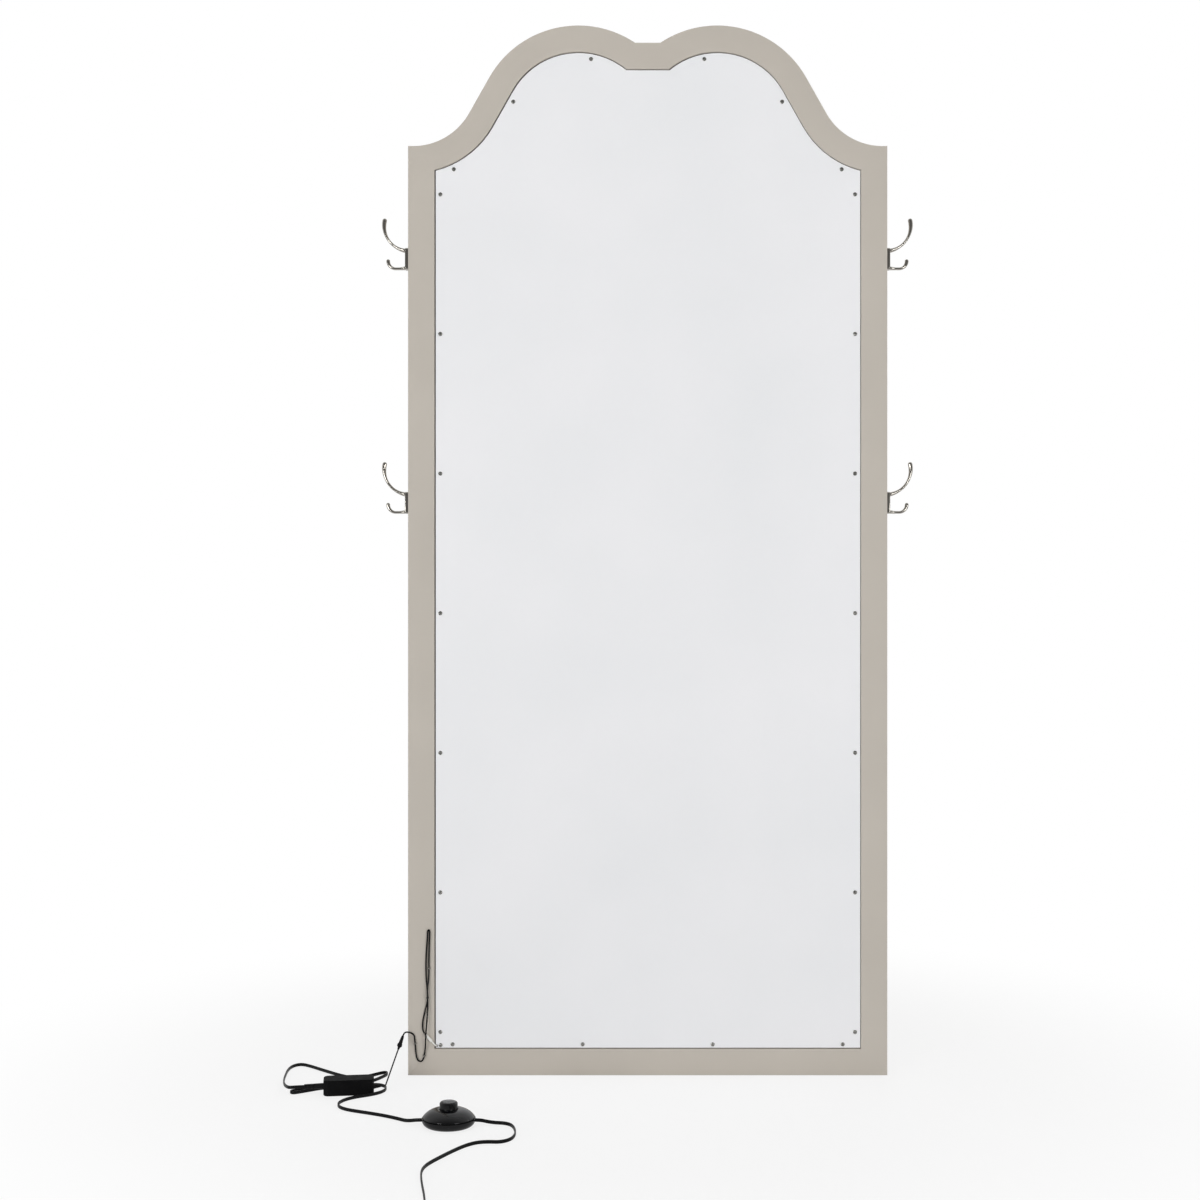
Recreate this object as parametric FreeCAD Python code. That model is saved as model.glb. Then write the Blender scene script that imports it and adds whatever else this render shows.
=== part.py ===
import FreeCAD, Part
import math
import os

# Lighted floor mirror: a frame with a double-lobed crest, a mirror with a light band round it, a screwed-on
# backing, two double coat hooks on each side, and the leads, adapter and foot switch that lie behind it.
# Millimetres. As seen from behind, X runs to the right and Z up, and Y runs from the rear face to the mirror
# side. The origin is on the floor under the middle of the frame. Left and right are as seen from behind.

Vec = FreeCAD.Vector
UP = Vec(0, 0, 1)

# Frame: outline, section and joints
FRAME_WIDTH = 835.0
FRAME_HEIGHT = 1829.0
FRAME_DEPTH = 50.0
MEMBER_WIDTH = 46.0
LOBE_RADIUS = 178.0
LOBE_OFFSET = FRAME_WIDTH * 0.145
NOTCH_DROP = 30.0
CREST_SLANT = 29.5
COVE_INSET = 8.5
SHOULDER_DROP = 210.0
CREST_JOINT_DROP = 320.0
FRONT_BEVEL = 4.0
LIP_WIDTH = 8.0
LIP_THICKNESS = 8.0
SIGHT_SLOPE = 6.0
DOWEL_DIAMETER = 8.0
DOWEL_LENGTH = 36.0
DOWEL_SPREAD = 22.0
DOWEL_CLEARANCE = 0.1

# Glass, light and backing, from the lip to the rear face
GASKET_THICKNESS = 1.0
GASKET_WIDTH = 5.0
GLASS_THICKNESS = 4.0
GLASS_CLEARANCE = 1.5
BAND_INSET = 24.0
BAND_WIDTH = 22.0
ETCH_DEPTH = 0.3
BATTEN_WIDTH = 16.0
STRIP_WIDTH = 10.0
STRIP_THICKNESS = 1.2
CHIP_SIZE = 5.0
CHIP_HEIGHT = 1.6
CHIP_PITCH = 33.3
CHIP_SEAT = 0.05
FEED_CORNER = 60.0
PANEL_THICKNESS = 3.0
PANEL_RECESS = 2.0
PANEL_GAP = 1.6
PANEL_SHIFT = 0.6

# Backing screws
SCREW_HEAD_DIAMETER = 7.0
SCREW_HEAD_HEIGHT = 1.9
SCREW_SHANK_DIAMETER = 3.0
SCREW_LENGTH = 14.0
SCREW_CLEARANCE = 0.15
SCREW_INSET = 8.5
SIDE_SCREWS = 7
SIDE_SCREW_BOTTOM = 75.0
SIDE_SCREW_TOP_DROP = 294.0
BOTTOM_SCREWS = 4
BOTTOM_SCREW_END = 77.5
BOTTOM_SCREW_INSET = 6.0
LOBE_SCREW_ANGLES = (100.6, 21.9)
COVE_SCREW_ANGLE = -115.0
CORNER_SCREW_INSET = (9.0, 4.5)

# Coat hooks, hung by drops from the frame's top, in heights above the hook's lower end and reaches from the side
HOOK_DROPS = {"lower": 850.0, "upper": 423.5}
HOOK_SET_BACK = 8.0
HOOK_PLATE_HEIGHT = 38.0
HOOK_PLATE_WIDTH = 18.0
HOOK_PLATE_THICKNESS = 6.5
HOOK_PLATE_CORNER = 4.0
HOOK_PLATE_EDGE = 1.2
UPPER_PRONG_RADIUS = 44.0
UPPER_PRONG_RISE = 77.5
LOWER_PRONG_RADIUS = 13.5
LOWER_PRONG_REACH = 23.0
LOWER_ROOT_THICKNESS = 8.0
LOWER_TIP_DIAMETER = 6.8
PRONG_THICKNESS = 4.8
PRONG_WIDTH = 8.0
PRONG_ROOT_THICKNESS = 9.0
PRONG_ROOT_WIDTH = 13.0
PRONG_TIP_DIAMETER = 8.0
PRONG_TIP_STEP = 0.3
HOOK_SCREW_HEIGHTS = (12.0, 23.5)
HOOK_SCREW_DIAMETER = 3.5
HOOK_SCREW_HEAD = 6.5
HOOK_SCREW_LENGTH = 24.0

# Leads. A point is given by how far it lies out from the frame's left side, back from its rear face, and up.
FLAT_LEAD_HEIGHT = 5.6
FLAT_LEAD_THICKNESS = 2.8
LIGHT_LEAD_DIAMETER = 2.6
LIGHT_LEAD_LIFT = 2.2
FEED_WIRE_DIAMETER = 2.6
SLEEVE_LENGTH = 15.0
SLEEVE_DIAMETER = 5.2
SLEEVE_TIP_DIAMETER = 4.2
SLEEVE_LIFT = 3.0
SLEEVE_SLOPE = 48.0
FEED_EXIT = (-49.3, 51.0)
FEED_RISE = 30.0
FEED_BEND_RISE = 12.0
FEED_REACH = 12.0
FEED_NICK_WIDTH = 4.8
FEED_GROOVE_WIDTH = 6.6
FEED_GROOVE_DEPTH = 4.4
FEED_GROOVE_SLACK = 3.0
LEAD_START = 6.5
LIGHT_LEAD_ROUTE = [
    (-25.2, 2.4, 84.0), (-25.6, 2.2, 95.0), (-28.2, 2.2, 106.0), (-31.0, 2.2, 117.0), (-33.4, 2.2, 127.0),
    (-34.4, 2.2, 136.0), (-34.0, 2.2, 146.0), (-33.1, 2.2, 156.0), (-32.0, 2.2, 167.0), (-31.4, 2.2, 180.0),
    (-31.3, 2.2, 194.0), (-31.8, 2.2, 210.0), (-32.9, 2.2, 227.0), (-34.0, 2.2, 241.0), (-34.5, 2.2, 253.5),
    (-38.2, 2.2, 253.5), (-37.8, 2.2, 241.0), (-37.2, 2.2, 227.0), (-36.7, 2.2, 210.0), (-36.5, 2.2, 194.0),
    (-36.6, 2.2, 180.0), (-36.2, 2.8, 168.0), (-34.8, 4.8, 157.0), (-33.9, 5.4, 147.0), (-34.4, 5.4, 136.0),
    (-35.0, 5.4, 126.0), (-34.8, 5.6, 115.0), (-33.9, 6.4, 103.0), (-33.0, 7.6, 91.0), (-32.2, 8.2, 79.0),
    (-31.4, 8.2, 66.0), (-30.8, 5.8, 52.0), (-29.4, 2.2, 39.5), (-27.6, 2.2, 30.4), (-24.4, 2.2, 24.8),
    (-19.2, 2.2, 24.8), (-15.6, 2.2, 30.0), (-14.0, 2.2, 39.0), (-12.8, 2.2, 51.0), (-12.2, 2.2, 61.5),
    (-11.2, 2.2, 70.6), (-5.2, 2.4, 74.8), (2.2, 3.6, 76.6),
]
SOCKET_START = (7.6, 12.0, 71.4)
CLIP_WALL = 0.8
CLIP_LENGTH = 3.0
CLIP_CLEARANCE = 0.25
TIE_WIDTH = 2.4
TIE_THICKNESS = 0.4
TIE_ROOM = 0.35
SWITCH_LEAD_ROUTE = [
    (185.0, 127.5, 12.6), (190.0, 119.5, 11.6), (195.5, 106.0, 10.0), (200.5, 88.0, 7.8), (205.5, 64.0, 5.4),
    (209.5, 36.0, 3.6), (212.0, 6.0, 2.8), (213.5, -22.0, 2.8), (211.5, -45.0, 2.8), (205.0, -60.0, 2.8),
    (194.5, -65.0, 2.8), (179.0, -53.0, 2.8), (161.0, -34.0, 2.8), (140.0, -12.5, 2.8), (116.0, 11.5, 2.8),
    (94.0, 27.0, 2.8), (74.0, 22.0, 2.8), (58.0, 6.5, 2.8), (47.5, -5.5, 2.8), (40.0, -9.5, 2.8), (36.0, -3.5, 2.8),
    (37.0, 9.0, 2.8), (44.0, 25.0, 2.8), (51.0, 39.5, 2.8), (60.0, 52.0, 2.8), (74.0, 62.5, 2.8),
    (92.0, 71.0, 2.8), (114.0, 78.5, 2.8), (136.0, 86.5, 2.8), (155.0, 95.5, 2.8), (169.0, 103.5, 2.8),
    (178.0, 109.2, 2.8), (183.9, 113.4, 2.8), (184.8, 118.3, 2.8), (182.0, 122.4, 2.8), (177.1, 123.2, 2.8),
    (172.2, 119.8, 2.8), (165.0, 115.2, 2.8), (153.0, 106.5, 2.8), (139.0, 95.8, 2.8), (118.0, 88.0, 2.8),
    (95.0, 81.3, 2.8), (72.0, 75.0, 2.8), (54.0, 71.5, 2.8), (40.0, 73.0, 2.8), (31.0, 81.0, 2.8),
    (27.0, 94.0, 2.8), (28.0, 110.0, 2.8), (36.0, 124.5, 2.8), (49.0, 136.0, 2.8), (64.0, 145.0, 2.8),
    (79.0, 156.0, 2.8), (90.0, 171.0, 2.8), (95.0, 189.0, 2.8), (91.5, 208.0, 2.8), (79.0, 223.0, 2.8),
    (60.0, 234.0, 2.8), (36.0, 246.0, 2.8), (9.0, 261.0, 2.8), (-12.0, 276.5, 2.8), (-25.0, 288.0, 3.0),
    (-34.5, 298.0, 5.6),
]
PLUG_LEAD_ROUTE = [
    (-157.0, 303.0, 5.4), (-169.5, 301.0, 3.2), (-183.0, 301.5, 2.8), (-194.0, 310.0, 2.8),
    (-200.0, 327.0, 2.8), (-203.3, 350.0, 2.8), (-202.5, 374.0, 2.8), (-195.5, 393.0, 2.8),
    (-181.5, 403.5, 2.8), (-164.5, 401.5, 2.8), (-148.0, 404.5, 2.8), (-133.0, 418.0, 2.8),
    (-118.0, 441.0, 2.8), (-102.5, 470.0, 2.8), (-88.5, 498.0, 2.8), (-79.5, 520.0, 2.8),
    (-76.0, 545.0, 2.8), (-79.0, 578.0, 2.8), (-84.5, 616.0, 2.8), (-90.5, 653.0, 3.2),
    (-95.0, 690.0, 3.6), (-97.0, 722.0, 3.8), (-97.0, 752.0, 3.8),
]

# Low-voltage socket and plug
SOCKET_RELIEF_LENGTH = 7.0
SOCKET_LENGTH = 12.0
SOCKET_TIP_DIAMETER = 3.8
SOCKET_NECK_DIAMETER = 5.4
SOCKET_MOUTH_DIAMETER = 6.8
BARREL_DIAMETER = 3.5
BARREL_BORE = 1.7
BARREL_LENGTH = 8.0
BARREL_CLEARANCE = 0.15
PIN_DIAMETER = 1.3
LOW_PLUG_DIAMETER = 8.6
LOW_PLUG_EDGE = 1.2
PLUG_GRIP_LENGTH = 5.0
PLUG_CONE_LENGTH = 7.0
PLUG_CONE_WALL = 0.6
ADAPTER_LEAD_DIAMETER = 2.4

# Adapter
ADAPTER_LENGTH = 84.0
ADAPTER_WIDTH = 38.0
ADAPTER_HEIGHT = 26.0
ADAPTER_WALL = 2.0
ADAPTER_CORNER = 9.0
ADAPTER_EDGE = 2.0
ADAPTER_YAW = 7.0
ADAPTER_PLACE = (87.5, 115.0)
TONGUE_RISE = 1.5
TONGUE_WALL = 1.0
TONGUE_CLEARANCE = 0.2
MAINS_RELIEF_LENGTH = 32.0
MAINS_RELIEF_SLOTS = 6
LOW_RELIEF_LENGTH = 12.0
LOW_RELIEF_HEIGHT = 10.0
LOW_RELIEF_DIAMETER = 8.4
LOW_LEAD_START = 7.0
BOARD_THICKNESS = 1.6
BOARD_HEIGHT = 7.0
BOARD_MARGIN = 3.0

# Foot switch
SWITCH_PLACE = (-95.8, 304.0)
SWITCH_RADIUS = 42.5
SWITCH_FOOT_RADIUS = 36.0
SWITCH_SPLIT = 11.5
SWITCH_TOP = 26.0
SWITCH_WALL = 2.0
SWITCH_SEAT = 2.5
LEAD_ENTRY_HEIGHT = 8.4
LEAD_ENTRY_DEPTH = 8.5
LEAD_ENTRY_RUN = 15.8
LEAD_ENTRY_CLEARANCE = 0.3
BUTTON_RADIUS = 14.3
BUTTON_RISE = 12.2
BUTTON_FLANGE = 3.0
BUTTON_FLANGE_THICKNESS = 2.2
BUTTON_CLEARANCE = 0.5
BUTTON_TRAVEL = 4.5
POST_RADIUS = 4.5
SPIGOT_RADIUS = 3.0
ROTOR_RADIUS = 12.4
ROTOR_TOP = 9.5
ROTOR_TEETH = 8
TOOTH_HEIGHT = 1.2
SEAT_WASHER_THICKNESS = 1.0
RUNNING_CLEARANCE = 0.3
SPRING_RADIUS = 5.0
SPRING_WIRE = 1.2
SPRING_TURNS = 5
SWITCH_SCREW_CIRCLE = 28.0
SWITCH_SCREW_ANGLES = (90.0, 210.0, 330.0)
SWITCH_SCREW_DIAMETER = 2.8
CONTACT_ANGLES = (30.0, 150.0)
CONTACT_THICKNESS = 0.8
CONTACT_WIDTH = 6.0

# Coil of the plug's lead, its tie, and the plug
COIL_RADIUS = 35.0
COIL_TURN_GAP = 0.6
COIL_LAYER_TURNS = 2.875
COIL_TAIL_REACH = 32.0
COIL_TAIL_SWAY = 2.0
COIL_TIE_WIDTH = 8.0
COIL_TIE_THICKNESS = 0.8
COIL_TIE_ROOM = 0.8
PLUG_RELIEF_LENGTH = 20.0
PLUG_BODY_LENGTH = 30.0
PLUG_WIDTH = 24.0
PLUG_THICKNESS = 15.0
PLUG_GRIPS = 4
BLADE_LENGTH = 16.0
BLADE_THICKNESS = 1.5
BLADE_WIDTHS = (6.35, 7.9)
BLADE_SPACING = 12.7

# Values that follow from the sizes above
OVERRUN = 1.0
HALF_WIDTH = FRAME_WIDTH / 2
LEFT = -HALF_WIDTH
REAR = -FRAME_DEPTH / 2
FRONT = FRAME_DEPTH / 2
LIP_BACK = FRONT - LIP_THICKNESS
GLASS_FRONT = LIP_BACK - GASKET_THICKNESS
GLASS_BACK = GLASS_FRONT - GLASS_THICKNESS
PANEL_BACK = REAR + PANEL_RECESS
PANEL_FRONT = PANEL_BACK + PANEL_THICKNESS
PANEL_EDGE = MEMBER_WIDTH + PANEL_GAP
BATTEN_EDGE = MEMBER_WIDTH + BATTEN_WIDTH
STRIP_FACE = BATTEN_EDGE + STRIP_THICKNESS
CREST_JOINT = FRAME_HEIGHT - CREST_JOINT_DROP
LOBE_CENTRE = Vec(LOBE_OFFSET, 0, FRAME_HEIGHT - LOBE_RADIUS)
SLANT = math.radians(CREST_SLANT)
SHOULDER = Vec(HALF_WIDTH - COVE_INSET, 0, FRAME_HEIGHT - SHOULDER_DROP) - LOBE_CENTRE
SLANT_REACH = SHOULDER.x * math.cos(SLANT) + SHOULDER.z * math.sin(SLANT)
COVE_RADIUS = (SLANT_REACH - LOBE_RADIUS) / (1 - math.sin(SLANT))
COVE_CENTRE = LOBE_CENTRE + SHOULDER + Vec(0, 0, COVE_RADIUS)
MITRE = 1 / math.sqrt(2)


def laid(out, back, up):
    """Point measured out from the frame's left side, back from its rear face, and up from the floor."""
    return Vec(LEFT - out, REAR - back, up)


def block(x0, x1, y0, y1, z0, z1):
    return Part.makeBox(x1 - x0, y1 - y0, z1 - z0, Vec(x0, y0, z0))


def rod(start, end, radius):
    along = end - start
    return Part.makeCylinder(radius, along.Length, start, along)


def taper(start, end, start_radius, end_radius):
    along = end - start
    return Part.makeCone(start_radius, end_radius, along.Length, start, along)


def prism(points, y0, y1):
    """Polygon of (x, z) points, drawn out from y0 to y1."""
    corners = [Vec(x, y0, z) for x, z in points]
    return Part.Face(Part.makePolygon(corners + corners[:1])).extrude(Vec(0, y1 - y0, 0))


def turned(start, *steps):
    """Solid turned about Z from a closed profile of (radius, z) points; a pair of points is an arc to the second."""
    edges = []
    at = Vec(start[0], 0, start[1])
    for step in steps + (start,):
        if isinstance(step[0], tuple):
            (mid_r, mid_z), (end_r, end_z) = step
            end = Vec(end_r, 0, end_z)
            edges.append(Part.Arc(at, Vec(mid_r, 0, mid_z), end).toShape())
        else:
            end = Vec(step[0], 0, step[1])
            edges.append(Part.LineSegment(at, end).toShape())
        at = end
    return Part.Face(Part.Wire(edges)).revolve(Vec(0, 0, 0), UP, 360)


def save(name, shape):
    shape.exportStep("parts/%s.step" % name)


def on_circle(centre, radius, angle):
    return Vec(centre.x + radius * math.cos(angle), 0, centre.z + radius * math.sin(angle))


def mirrored(point):
    return Vec(-point.x, point.y, point.z)


def outline(inset, y):
    """The frame's outline moved in by inset, at depth y: straight sides and foot, coves, lobes and notch."""
    side = HALF_WIDTH - inset
    cove = COVE_RADIUS + inset
    lobe = LOBE_RADIUS - inset
    side_angle = -math.acos((side - COVE_CENTRE.x) / cove)
    notch_height = FRAME_HEIGHT - NOTCH_DROP - inset
    notch_angle = math.pi - math.asin((notch_height - LOBE_CENTRE.z) / lobe)
    foot = Vec(side, 0, inset)
    shoulder = on_circle(COVE_CENTRE, cove, side_angle)
    cove_mid = on_circle(COVE_CENTRE, cove, (side_angle + SLANT - math.pi) / 2)
    cove_end = on_circle(COVE_CENTRE, cove, SLANT - math.pi)
    lobe_start = on_circle(LOBE_CENTRE, lobe, SLANT)
    lobe_mid = on_circle(LOBE_CENTRE, lobe, (SLANT + notch_angle) / 2)
    notch = on_circle(LOBE_CENTRE, lobe, notch_angle)
    right = [(foot, shoulder), (shoulder, cove_mid, cove_end), (cove_end, lobe_start), (lobe_start, lobe_mid, notch)]
    left = [tuple(mirrored(p) for p in reversed(points)) for points in reversed(right)]
    edges = []
    for points in [(mirrored(foot), foot)] + right + [(notch, mirrored(notch))] + left:
        placed = [Vec(p.x, y, p.z) for p in points]
        curve = Part.LineSegment(*placed) if len(placed) == 2 else Part.Arc(*placed)
        edges.append(curve.toShape())
    return Part.Wire(edges)


def slab(inset, y0, y1):
    return Part.Face(outline(inset, y0)).extrude(Vec(0, y1 - y0, 0))


def tapered_slab(inset0, y0, inset1, y1):
    return Part.makeLoft([outline(inset0, y0), outline(inset1, y1)], True, True)


def ring(outer_inset, inner_inset, y0, y1):
    return slab(outer_inset, y0, y1).cut(slab(inner_inset, y0 - OVERRUN, y1 + OVERRUN))


def split(shape):
    """Cuts a ring into crest, foot and sides: mitred at the foot, butted below the crest."""
    reach = FRAME_WIDTH / 4
    wide = HALF_WIDTH + OVERRUN
    foot = [(-wide, -OVERRUN), (wide, -OVERRUN), (HALF_WIDTH - reach, reach), (reach - HALF_WIDTH, reach)]
    right = [(wide, -OVERRUN), (wide, CREST_JOINT), (HALF_WIDTH - reach, CREST_JOINT), (HALF_WIDTH - reach, reach)]
    left = [(-x, z) for x, z in right]
    top = FRAME_HEIGHT + OVERRUN
    crest = [(-wide, CREST_JOINT), (wide, CREST_JOINT), (wide, top), (-wide, top)]
    regions = {"bottom": foot, "right": right, "left": left, "crest": crest}
    pieces = {}
    for name, points in regions.items():
        pieces[name] = shape.common(prism(points, REAR - OVERRUN, FRONT + OVERRUN))
    return pieces


def frame_ring():
    """Frame in one ring: square body, bevelled front edge, rear pocket, and a lip with a sloped sight edge."""
    bevel_start = FRONT - FRONT_BEVEL
    body = slab(0, REAR, bevel_start).fuse(tapered_slab(0, bevel_start, FRONT_BEVEL, FRONT))
    pocket = slab(MEMBER_WIDTH, REAR - OVERRUN, LIP_BACK)
    sight = MEMBER_WIDTH + LIP_WIDTH
    spread = SIGHT_SLOPE / LIP_THICKNESS * OVERRUN
    opening = tapered_slab(sight + spread, LIP_BACK - OVERRUN, sight - SIGHT_SLOPE - spread, FRONT + OVERRUN)
    return body.cut([pocket, opening]).removeSplitter()


def dowels(growth):
    """Two dowels across each joint of the frame, all grown by the same amount to cut their holes."""
    middle = (REAR + LIP_BACK) / 2
    half = MEMBER_WIDTH / 2
    reach = DOWEL_LENGTH / 2 + growth
    pins = []
    for side in (-1, 1):
        for y in (middle - DOWEL_SPREAD / 2, middle + DOWEL_SPREAD / 2):
            mitre = Vec(side * (HALF_WIDTH - half), y, half)
            butt = Vec(side * (HALF_WIDTH - half), y, CREST_JOINT)
            for centre, along in ((mitre, Vec(side * MITRE, 0, MITRE)), (butt, UP)):
                pins.append(rod(centre - along * reach, centre + along * reach, DOWEL_DIAMETER / 2 + growth))
    return pins


def panel_screw_places():
    """(x, z) of the backing's screws: along the sides, the foot, the crest's curves, and one in the lead's corner."""
    column = HALF_WIDTH - PANEL_EDGE - SCREW_INSET
    pitch = (FRAME_HEIGHT - SIDE_SCREW_TOP_DROP - SIDE_SCREW_BOTTOM) / (SIDE_SCREWS - 1)
    half = [(column, SIDE_SCREW_BOTTOM + pitch * row) for row in range(SIDE_SCREWS)]
    for angle in LOBE_SCREW_ANGLES:
        radius = LOBE_RADIUS - PANEL_EDGE - SCREW_INSET
        place = on_circle(LOBE_CENTRE, radius, math.radians(angle))
        half.append((place.x, place.z))
    place = on_circle(COVE_CENTRE, COVE_RADIUS + PANEL_EDGE + SCREW_INSET, math.radians(COVE_SCREW_ANGLE))
    half.append((place.x, place.z))
    reach = HALF_WIDTH - BOTTOM_SCREW_END
    step = 2 * reach / (BOTTOM_SCREWS - 1)
    foot = PANEL_EDGE + BOTTOM_SCREW_INSET
    row = [(step * i - reach, foot) for i in range(BOTTOM_SCREWS)]
    corner = (LEFT + PANEL_EDGE + CORNER_SCREW_INSET[0], PANEL_EDGE + CORNER_SCREW_INSET[1])
    return half + [(-x, z) for x, z in half] + row + [corner]


def panel_screw(x, z):
    face = Vec(x, PANEL_BACK, z)
    top = face - Vec(0, SCREW_HEAD_HEIGHT, 0)
    head = taper(face, top, SCREW_HEAD_DIAMETER / 2, SCREW_HEAD_DIAMETER / 2 - SCREW_HEAD_HEIGHT / 2)
    return head.fuse(rod(face, face + Vec(0, SCREW_LENGTH, 0), SCREW_SHANK_DIAMETER / 2))


def panel_screw_holes():
    radius = SCREW_SHANK_DIAMETER / 2 + SCREW_CLEARANCE
    depth = Vec(0, SCREW_LENGTH + SCREW_CLEARANCE, 0)
    holes = []
    for x, z in panel_screw_places():
        face = Vec(x, PANEL_BACK - OVERRUN, z)
        holes.append(rod(face, face + depth + Vec(0, OVERRUN, 0), radius))
    return holes


def light_chips():
    """Light chips evenly spaced along each straight or round stretch of the strip, clear of the feed corner."""
    middle = strip_middle()
    chips = []
    for edge in outline(STRIP_FACE + CHIP_SEAT, middle).Edges:
        room = edge.Length - 2 * CHIP_SIZE - 2 * CHIP_HEIGHT
        count = int(room / CHIP_PITCH) + 1
        if room < 0:
            continue
        for i in range(count):
            at = edge.getParameterByLength(edge.Length / 2 + (i - (count - 1) / 2) * CHIP_PITCH)
            point = edge.valueAt(at)
            tangent = edge.tangentAt(at)
            if point.x - LEFT < STRIP_FACE + FEED_CORNER and point.z < STRIP_FACE + FEED_CORNER:
                continue
            chip = Part.makeBox(CHIP_SIZE, CHIP_SIZE, CHIP_HEIGHT, Vec(-CHIP_SIZE / 2, -CHIP_SIZE / 2, 0))
            turn = FreeCAD.Rotation(Vec(0, 1, 0), -math.degrees(math.atan2(tangent.z, tangent.x)))
            chip.Placement = FreeCAD.Placement(point, turn)
            chips.append(chip)
    return chips


def strip_middle():
    return (GLASS_BACK + PANEL_FRONT) / 2


def feed_points():
    """Route of the light strip's feed wire: off the strip, along the batten's groove, out through the nick."""
    out, up = FEED_EXIT
    inner = -(STRIP_FACE + FEED_WIRE_DIAMETER / 2 + RUNNING_CLEARANCE)
    groove = -(PANEL_RECESS + PANEL_THICKNESS + FEED_GROOVE_DEPTH / 2)
    start = laid(inner, REAR - strip_middle(), up + FEED_RISE)
    bend = laid(inner, groove, up + FEED_BEND_RISE)
    below = laid(out, groove, up)
    above = laid(out, SLEEVE_LIFT, up)
    return [start, bend, below, above, above + sleeve_axis() * FEED_REACH]


def sleeve_axis():
    slope = math.radians(SLEEVE_SLOPE)
    return Vec(-math.cos(slope), 0, math.sin(slope))


def feed_groove():
    """Groove across the battens' rear face that the feed wire lies in, run out to the frame's wall."""
    _, bend, below, _, _ = feed_points()
    along = (below - bend).normalize()
    across = along.cross(Vec(0, 1, 0)) * (FEED_GROOVE_WIDTH / 2)
    start = bend - along * FEED_GROOVE_WIDTH
    end = below + along * FEED_GROOVE_WIDTH
    corners = [(p.x, p.z) for p in (start + across, end + across, end - across, start - across)]
    return prism(corners, PANEL_FRONT - OVERRUN, PANEL_FRONT + FEED_GROOVE_DEPTH + FEED_GROOVE_SLACK)


def feed_nick():
    _, _, below, _, _ = feed_points()
    half = FEED_NICK_WIDTH / 2
    return block(LEFT + MEMBER_WIDTH, below.x + half, PANEL_BACK - OVERRUN, PANEL_FRONT + OVERRUN,
                 below.z - half, below.z + half)


def corner_arc(start, corner, end):
    """Arc tangent to start-corner at start and to corner-end at end, which are as far from the corner."""
    middle = (start + end) * 0.5
    cosine = (end - start).Length / 2 / (corner - start).Length
    crown = middle + (corner - middle) * (cosine / (1 + cosine))
    return Part.Arc(start, crown, end).toShape()


def lead_path(name, points):
    """Straight runs joined by tangent arcs, each as large as 0.45 of its shorter run lets it be."""
    edges = []
    radii = []
    at = points[0]
    for before, corner, after in zip(points, points[1:], points[2:]):
        back = (before - corner).normalize()
        ahead = (after - corner).normalize()
        trim = 0.45 * min((before - corner).Length, (after - corner).Length)
        start = corner + back * trim
        end = corner + ahead * trim
        edges.append(Part.LineSegment(at, start).toShape())
        edges.append(corner_arc(start, corner, end))
        radii.append(trim / math.tan((math.pi - back.getAngle(ahead)) / 2))
        at = end
    edges.append(Part.LineSegment(at, points[-1]).toShape())
    print(name, "least radii", [round(r, 1) for r in sorted(radii)[:6]])
    return Part.Wire(edges)


def flat_section(point, along):
    """Flat twin lead standing on edge: eight-sided, rounded at its upper and lower edges."""
    across = along.cross(UP).normalize() * (FLAT_LEAD_THICKNESS / 2)
    upright = across.cross(along).normalize() * (FLAT_LEAD_HEIGHT / 2)
    ring_points = [(1, 0.6), (0.5, 1), (-0.5, 1), (-1, 0.6), (-1, -0.6), (-0.5, -1), (0.5, -1), (1, -0.6)]
    corners = [point + across * a + upright * b for a, b in ring_points]
    return Part.makePolygon(corners + corners[:1])


def check_volume(name, solid, section, path):
    wanted = Part.Face(section).Area * path.Length
    print(name, "length", round(path.Length), "volume over section times length", round(solid.Volume / wanted, 4))


def flat_lead(name, points):
    path = lead_path(name, points)
    section = flat_section(points[0], (points[1] - points[0]).normalize())
    pipe = Part.BRepOffsetAPI.MakePipeShell(path)
    pipe.setBiNormalMode(UP)
    pipe.add(section)
    pipe.build()
    pipe.makeSolid()
    solid = pipe.shape()
    check_volume(name, solid, section, path)
    return solid


def round_lead(name, points, diameter):
    path = lead_path(name, points)
    circle = Part.Circle(points[0], points[1] - points[0], diameter / 2)
    section = Part.Wire([circle.toShape()])
    solid = path.makePipeShell([section], True, False)
    check_volume(name, solid, section, path)
    return solid


def biarc(p0, t0, p1, t1):
    """Two arcs from p0 to p1 that leave along t0 and arrive along t1."""
    chord = p1 - p0
    both = chord.dot(t0 + t1)
    bend = 2 * (1 - t0.dot(t1))
    if bend < 1e-9:
        reach = chord.dot(chord) / (2 * both)
    else:
        reach = (math.sqrt(both * both + bend * chord.dot(chord)) - both) / bend
    first = p0 + t0 * reach
    second = p1 - t1 * reach
    joint = (first + second) * 0.5
    return [corner_arc(p0, first, joint), corner_arc(joint, second, p1)]


def winding_edges(place, turns):
    """Biarcs a quarter turn long along place(turns), which gives a point for each count of turns."""
    steps = max(1, round(turns * 4))
    small = 1e-4
    points = [place(turns * i / steps) for i in range(steps + 1)]
    tangents = []
    for i in range(steps + 1):
        at = turns * i / steps
        tangents.append((place(at + small) - place(at - small)).normalize())
    edges = []
    for i in range(steps):
        edges += biarc(points[i], tangents[i], points[i + 1], tangents[i + 1])
    return edges, points, tangents


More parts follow.
